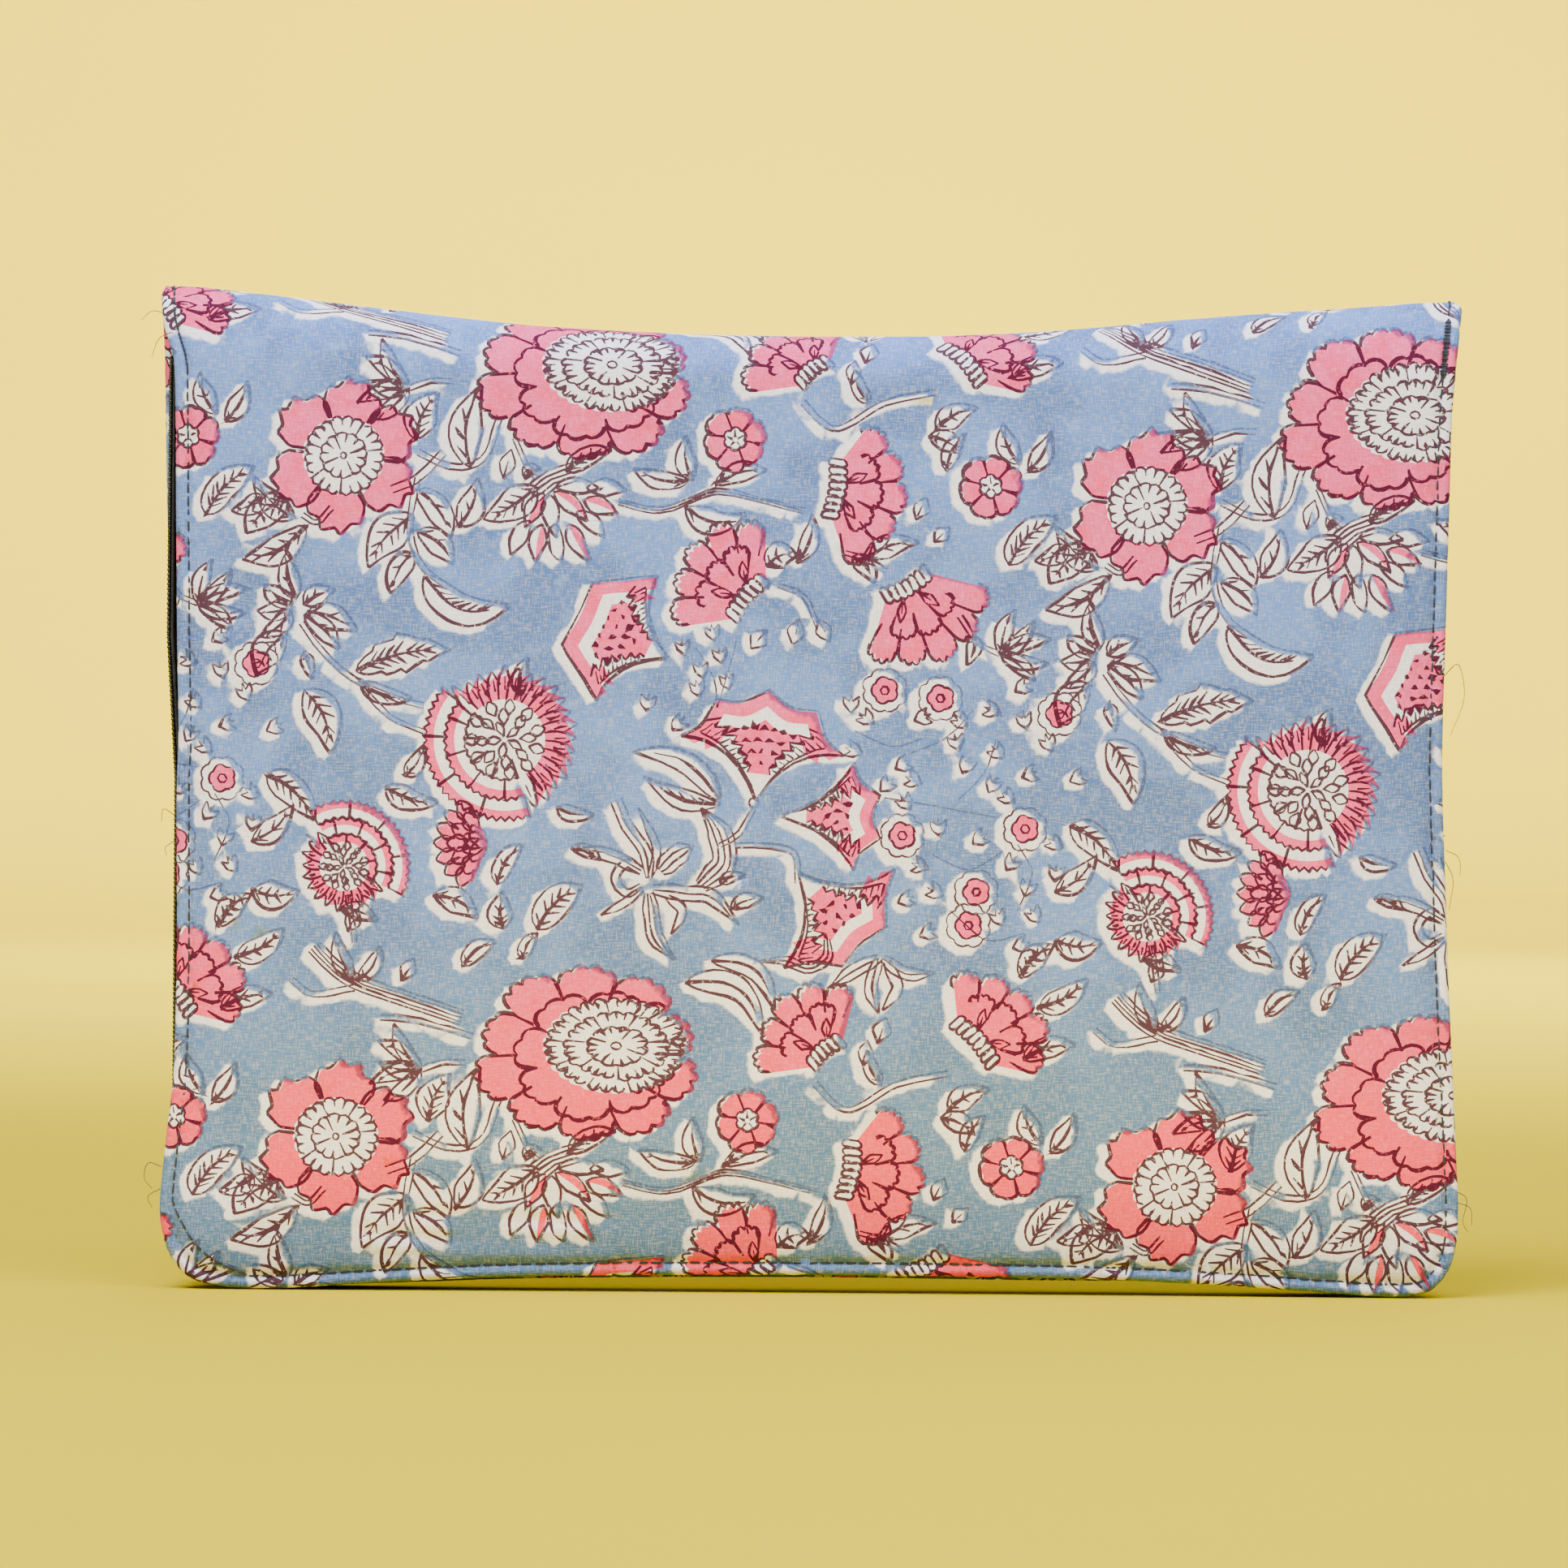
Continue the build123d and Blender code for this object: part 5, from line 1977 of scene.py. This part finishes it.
    def loose_ends(self, mesh: Mesh) -> None:
        """Adds the frayed thread ends that stick out at the seam.

        Args:
            mesh: the topstitch so far.
        """
        ends = (
            ((-172.6, 262), (-177.5, 263.5), (-181, 261)),
            ((-172.4, 258), (-176, 256), (-178, 251)),
            ((-171.3, 128), (-174, 129.5), (-174.5, 126)),
            ((-171, 121), (-173.5, 119), (-173, 117)),
            ((-174, 33), (-177.5, 34), (-178.5, 30), (-176.5, 27)),
            ((-174.3, 27), (-177.5, 25), (-176.5, 22)),
            ((170.6, 168), (174.5, 171), (176, 162), (172.5, 152)),
            ((171.5, 125), (168, 124), (167.2, 120), (171, 117)),
            ((171.5, 118), (173.5, 113), (172.6, 105)),
            ((171.6, 121), (175, 119), (175.5, 114)),
            ((175.2, 29), (178, 27), (177, 21), (178.5, 18)),
            ((175.6, 26), (179, 24.5), (179.5, 20)),
        )
        for end in ends:
            line = run([complex(*p) for p in end], 0.7)
            t = np.linspace(0, 1, len(line))
            y = -8.2 - 2.4 * np.sin(math.pi * t * 0.7 + 0.4)
            mesh.tube(np.stack([line.real, y, line.imag], 1), 0.13 * (1 - 0.4 * t), 5)

    def tacks(self) -> list[bpy.types.Object]:
        """Makes the dense corner tacks beside the fold.

        Returns:
            The two tacks.
        """
        pieces = []
        for side, sign in (("left", -1), ("right", 1)):
            mesh = Mesh()
            edge = self.shape.offset_line(STITCH_INSET, 0.25)
            edge = edge[(edge.real * sign > 0) & (edge.imag > self.tack_low) & (edge.imag < self.tack_high)]
            thin = side == "left" and self.panel is Panel.FRONT
            radius, swing = self.thin_tack if thin else self.tack
            for row in (0.0,) if thin else (-0.4, 0.0, 0.4):
                for k in range(4):
                    part = edge[int(len(edge) * k / 4) : int(len(edge) * (k + 1) / 4)]
                    lift = 0.3 + 0.25 * np.sin(np.linspace(0, math.pi, len(part)))
                    mesh.tube(self.shape.place(part + row, lift), radius)
            for k in np.linspace(3, len(edge) - 4, 15).astype(int):
                across = edge[k] + np.linspace(-swing, swing, 7) + 1j * self.rng.uniform(-0.2, 0.2)
                lift = 0.35 + 0.35 * np.sin(np.linspace(0, math.pi, 7))
                mesh.tube(self.shape.place(across, lift), radius)
            piece = mesh.build(f"corner_tack_{self.word}_{side}", Finish.navy_thread)
            turn_outward(piece)
            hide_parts(f"{self.word}_corner_tack_{side}")
            pieces.append(piece)
        return pieces

    def make(self) -> None:
        """Makes every piece of the half; only the pad is attached to the half's body."""
        cover, lining = self.cover(), self.lining()
        self.pad()
        for piece in (cover, lining, self.stitches(), *self.tacks()):
            bend(piece)


@dataclass
class SewnCorner:
    """Cotton tucked in between the two lips where they are sewn together beside the fold.

    Its fields: the side's name and sign, how far the print's ground is from a motif, and its lower end.
    """

    side: str
    sign: int
    reach: float
    low: float
    columns: int = 11
    gap: float = 1.6
    thickness: float = 0.6

    def make(self, shape: PanelShape) -> None:
        """Makes the tucked corner.

        Args:
            shape: a panel, for the line of its edge.
        """
        edge = shape.offset_line(0.0, 1.5)
        edge = edge[(edge.real * self.sign > 0) & (edge.imag > self.low)]
        edge = edge[np.argsort(edge.imag)][:-1]
        sheet = []
        for x, y, z in shape.place(edge):
            across = np.linspace(-1, 1, self.columns)
            width = max(abs(y) - self.gap, 0.35)
            inset = self.sign * (0.6 + 1.6 * np.cos(across * math.pi / 2) * min(1, width / 4))
            sheet.append(np.stack([x - inset, across * width, np.full(self.columns, z - 0.8)], 1))
        mesh = Mesh()
        mesh.points = np.array(sheet).reshape(-1, 3)
        mesh.faces = grid_faces(len(sheet), self.columns, 0, self.sign < 0)
        mesh.cloth = mesh.points[:, [1, 2, 0]]
        count, faces = len(mesh.points), len(mesh.faces)
        carried = {"reach": np.full(count, self.reach), "line": np.zeros(faces), "pink": np.zeros(faces)}
        piece = mesh.build(f"sewn_corner_{self.side}_tuck", Finish.printed_cotton, carried=carried)
        thick = piece.modifiers.new("cloth", "SOLIDIFY")
        thick.thickness = self.thickness * MM
        thick.offset = 0
        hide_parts(f"sewn_corner_{self.side}")
        bend(piece)


@dataclass
class Zipper:
    """Coil zipper round three sides: a tape and a row of coil teeth on each half."""

    left: float = -169.7
    right: float = 165.5
    base: float = 6.8
    left_radius: float = 14.0
    right_radius: float = 10.0
    top: float = 246.7
    left_top: float = 255.0
    coil_top: float = 229.4
    pitch: float = 1.3
    bulge: float = 2.3
    tape_step: float = 1.6
    section: tuple = ((0, 0.8), (0, 3.2), (0, 5.4), (0, 7.3), (0.5, 7.3), (0.5, 5.4), (0.55, 3.2),
                      (0.75, 2.9), (0.75, 1.1), (0.55, 0.8))
    tooth_reach: tuple = (3.0, 2.5, 1.5, 0.95, 0.5)
    tooth_half: tuple = (0.3, 0.38, 0.36, 0.52, 0.34)
    tooth_rise: tuple = (0.45, 0.62, 0.6, 0.72, 0.5)
    tooth_out: float = 1.45

    def line(self, spacing: float, right_top: float) -> np.ndarray:
        """Runs down the left, along the bottom and up the right.

        Args:
            spacing: distance between points.
            right_top: height where it ends on the right.

        Returns:
            Complex places, evenly spaced.
        """
        a = np.radians(np.linspace(180, 270, 24))
        lower_left = complex(self.left + self.left_radius, self.base + self.left_radius)
        lower_right = complex(self.right - self.right_radius, self.base + self.right_radius)
        z = np.linspace(self.left_top, self.base + self.left_radius, 200)[:-1]
        out = np.interp(z, (138, 176, 250, 255), (0, self.bulge, self.bulge * 0.9, self.bulge * 0.7))
        path = np.concatenate([
            self.left - out + 1j * z,
            lower_left + self.left_radius * np.exp(1j * a),
            lower_right + self.right_radius * np.exp(1j * (a + math.pi / 2)),
            [complex(self.right, right_top)],
        ])
        length = np.concatenate([[0], np.cumsum(np.abs(np.diff(path)))])
        at = np.arange(0, length[-1], spacing)
        return np.interp(at, length, path.real) + 1j * np.interp(at, length, path.imag)

    def make(self) -> None:
        """Makes both tapes and both coils."""
        for panel in Panel:
            word, s = panel.name.lower(), panel.value
            path = self.line(self.tape_step, self.top)
            way = np.gradient(path)
            out = -1j * way / np.abs(way)
            section = np.array(self.section)
            at = path[:, None] + out[:, None] * section[None, :, 0]
            rings = np.stack([at.real, s * np.broadcast_to(section[None, :, 1], at.shape), at.imag], 2)
            mesh = Mesh()
            mesh.loft(rings)
            along = np.arange(len(path))[:, None] * self.tape_step * np.ones(len(section))[None]
            mesh.cloth = np.stack([along, rings[..., 1], at.real * 0], 2).reshape(-1, 3)
            tape = mesh.build(f"zipper_tape_{word}", Finish.zipper_tape)
            turn_outward(tape)
            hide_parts(f"{word}_zip_tape")
            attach(tape, f"{word}_panel")
            self.coil(panel)

    def coil(self, panel: Panel) -> None:
        """Makes one row of coil teeth.

        Args:
            panel: the half that it is sewn to.
        """
        word, s = panel.name.lower(), panel.value
        path = self.line(self.pitch / 2, self.coil_top)
        way = np.gradient(path)
        way /= np.abs(way)
        out = -1j * way
        mesh = Mesh()
        turn = np.arange(6) * math.pi / 3
        tooth = (self.tooth_reach, self.tooth_half, self.tooth_rise)
        reach, half, rise = (np.array(values)[:, None] for values in tooth)
        for k in range(6 + (s > 0), len(path) - 2, 2):
            at = path[k] + way[k] * np.cos(turn) * half + out[k] * (self.tooth_out + np.sin(turn) * rise)
            mesh.loft(np.stack([at.real, s * np.broadcast_to(reach, at.shape), at.imag], 2))
        piece = mesh.build(f"zipper_coil_{word}", Finish.nylon_coil)
        turn_outward(piece)
        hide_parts(f"{word}_zip_coil")
        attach(piece, f"{word}_panel")


@dataclass(frozen=True)
class Hardware:
    """CAD pieces that keep their shape: stops, slider and pull."""

    plastic: tuple = ("front_top_stop", "back_top_stop", "bottom_stop")
    metal: tuple = ("slider_body", "slider_crown", "pull_tab")

    def make(self, nodes: dict) -> None:
        """Puts their finishes on.

        Args:
            nodes: CAD objects by name.
        """
        for names, finish in ((self.plastic, Finish.nylon_coil), (self.metal, Finish.dark_metal)):
            for name in names:
                finish.on(nodes[name])
                log.info("%s finished", name)


@dataclass(frozen=True)
class Lamp:
    """Soft area lamp that the camera doesn't see; lengths are in metres."""

    name: str
    place: tuple
    size: float
    power: float
    colour: tuple
    target: tuple = (0.0, 0.0, 0.13)
    spread: float = 180.0
    width: float | None = None

    def make(self) -> None:
        """Hangs the lamp and points it at its target."""
        lamp = bpy.data.lights.new(self.name, "AREA")
        lamp.energy, lamp.size, lamp.color = self.power, self.size, self.colour
        lamp.spread = math.radians(self.spread)
        if self.width:
            lamp.shape = "RECTANGLE"
            lamp.size, lamp.size_y = self.width, self.size
        light = bpy.data.objects.new(self.name, lamp)
        light.location = self.place
        light.rotation_euler = (Vector(self.target) - Vector(self.place)).to_track_quat("-Z", "Y").to_euler()
        light.visible_camera = False
        bpy.context.scene.collection.objects.link(light)


@dataclass(frozen=True)
class Studio:
    """Pale seamless floor, soft lights and the camera; lengths are in metres but for the floor's."""

    distance: float = 2.6
    view_width: float = 0.424
    aim: tuple = (-0.0069, 0.0, 0.1373)
    elevation: float = 1.2
    roll: float = 0.45
    sensor: float = 36.0
    paper: tuple = (tint(190, 166, 0), tint(196, 172, 2))
    floor_front: float = -4500.0
    floor_back: float = 3200.0
    floor_side: float = 6500.0
    curve: float = 900.0
    wall_top: float = 5200.0
    room: tuple = (0.86, 0.91, 1.0, 1)
    room_light: float = 0.35
    lamps: tuple = (
        Lamp("key", (-0.5, -0.85, 1.55), 1.0, 62, (0.9, 0.93, 1.0)),
        Lamp("fill", (0.75, -1.0, 1.4), 1.2, 32, (0.88, 0.92, 1.0)),
        Lamp("top", (0.1, -0.2, 2.6), 1.5, 18, (0.96, 0.96, 1.0)),
        Lamp("back", (0.5, 2.0, 1.1), 1.6, 50, (0.78, 0.86, 1.0)),
        Lamp("low", (0.0, -0.1, 0.003), 0.1, 0.7, (1.0, 0.72, 0.02), target=(0.0, -0.1, 0.1), width=0.46),
        Lamp("wall", (0.0, 0.9, 2.9), 3.0, 215, (1.0, 0.97, 0.2), target=(0.0, 3.8, 0.3), spread=72.0),
    )

    def make(self) -> None:
        """Sets up the floor, the lights and the camera."""
        self.floor()
        for lamp in self.lamps:
            lamp.make()
        world = bpy.data.worlds.new("room")
        world.use_nodes = True
        world.node_tree.nodes["Background"].inputs[0].default_value = self.room
        world.node_tree.nodes["Background"].inputs[1].default_value = self.room_light
        bpy.context.scene.world = world
        self.camera()

    def floor(self) -> None:
        """Lays the seamless paper, which curves up behind the sleeve."""
        turn = np.linspace(0.1, math.pi / 2, 14)
        back, radius = self.floor_back, self.curve
        rise = [(back + radius * math.sin(a), radius - radius * math.cos(a)) for a in turn]
        profile = [(self.floor_front, 0), (back, 0), *rise, (back + radius, self.wall_top)]
        points = [(x * MM, y * MM, z * MM) for y, z in profile for x in (-self.floor_side, self.floor_side)]
        data = bpy.data.meshes.new("floor")
        data.from_pydata(points, [], grid_faces(len(profile), 2))
        data.shade_smooth()
        floor = bpy.data.objects.new("floor", data)
        bpy.context.scene.collection.objects.link(floor)
        s = Shader("seamless_paper", 0.9, Specular_IOR_Level=0.0)
        s.colour(s.mix(s.step(s.noise(s.place(), 1.2), 0.3, 0.7), *self.paper))
        data.materials.append(s.material)

    def camera(self) -> None:
        """Sets up the camera, level with the sleeve."""
        camera = bpy.data.cameras.new("camera")
        camera.sensor_width = self.sensor
        camera.lens = self.sensor * self.distance / self.view_width
        camera.clip_start, camera.clip_end = 0.05, 50
        eye = bpy.data.objects.new("camera", camera)
        tilt = math.radians(self.elevation)
        aim = Vector(self.aim)
        eye.location = aim + Vector((0, -math.cos(tilt), math.sin(tilt))) * self.distance
        turn = (aim - eye.location).to_track_quat("-Z", "Y")
        eye.rotation_euler = (turn.to_matrix() @ Matrix.Rotation(math.radians(self.roll), 3, "Z")).to_euler()
        bpy.context.scene.collection.objects.link(eye)
        bpy.context.scene.camera = eye


def main() -> None:
    """Builds the sleeve and its studio."""
    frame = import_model()
    block = Block()
    FloralDrawing(block).make()
    log.info("print block: %d lines, %d fills", len(block.strokes), len(block.fills))
    halves = [PaddedPanel(panel, block) for panel in Panel]
    for half in halves:
        half.make()
    for corner in (SewnCorner("left", -1, 0.0, 254.0), SewnCorner("right", 1, 6.0, 246.5)):
        corner.make(halves[0].shape)
    Zipper().make()
    Hardware().make(frame["nodes"])
    Studio().make()


if __name__ == "__main__":
    main()
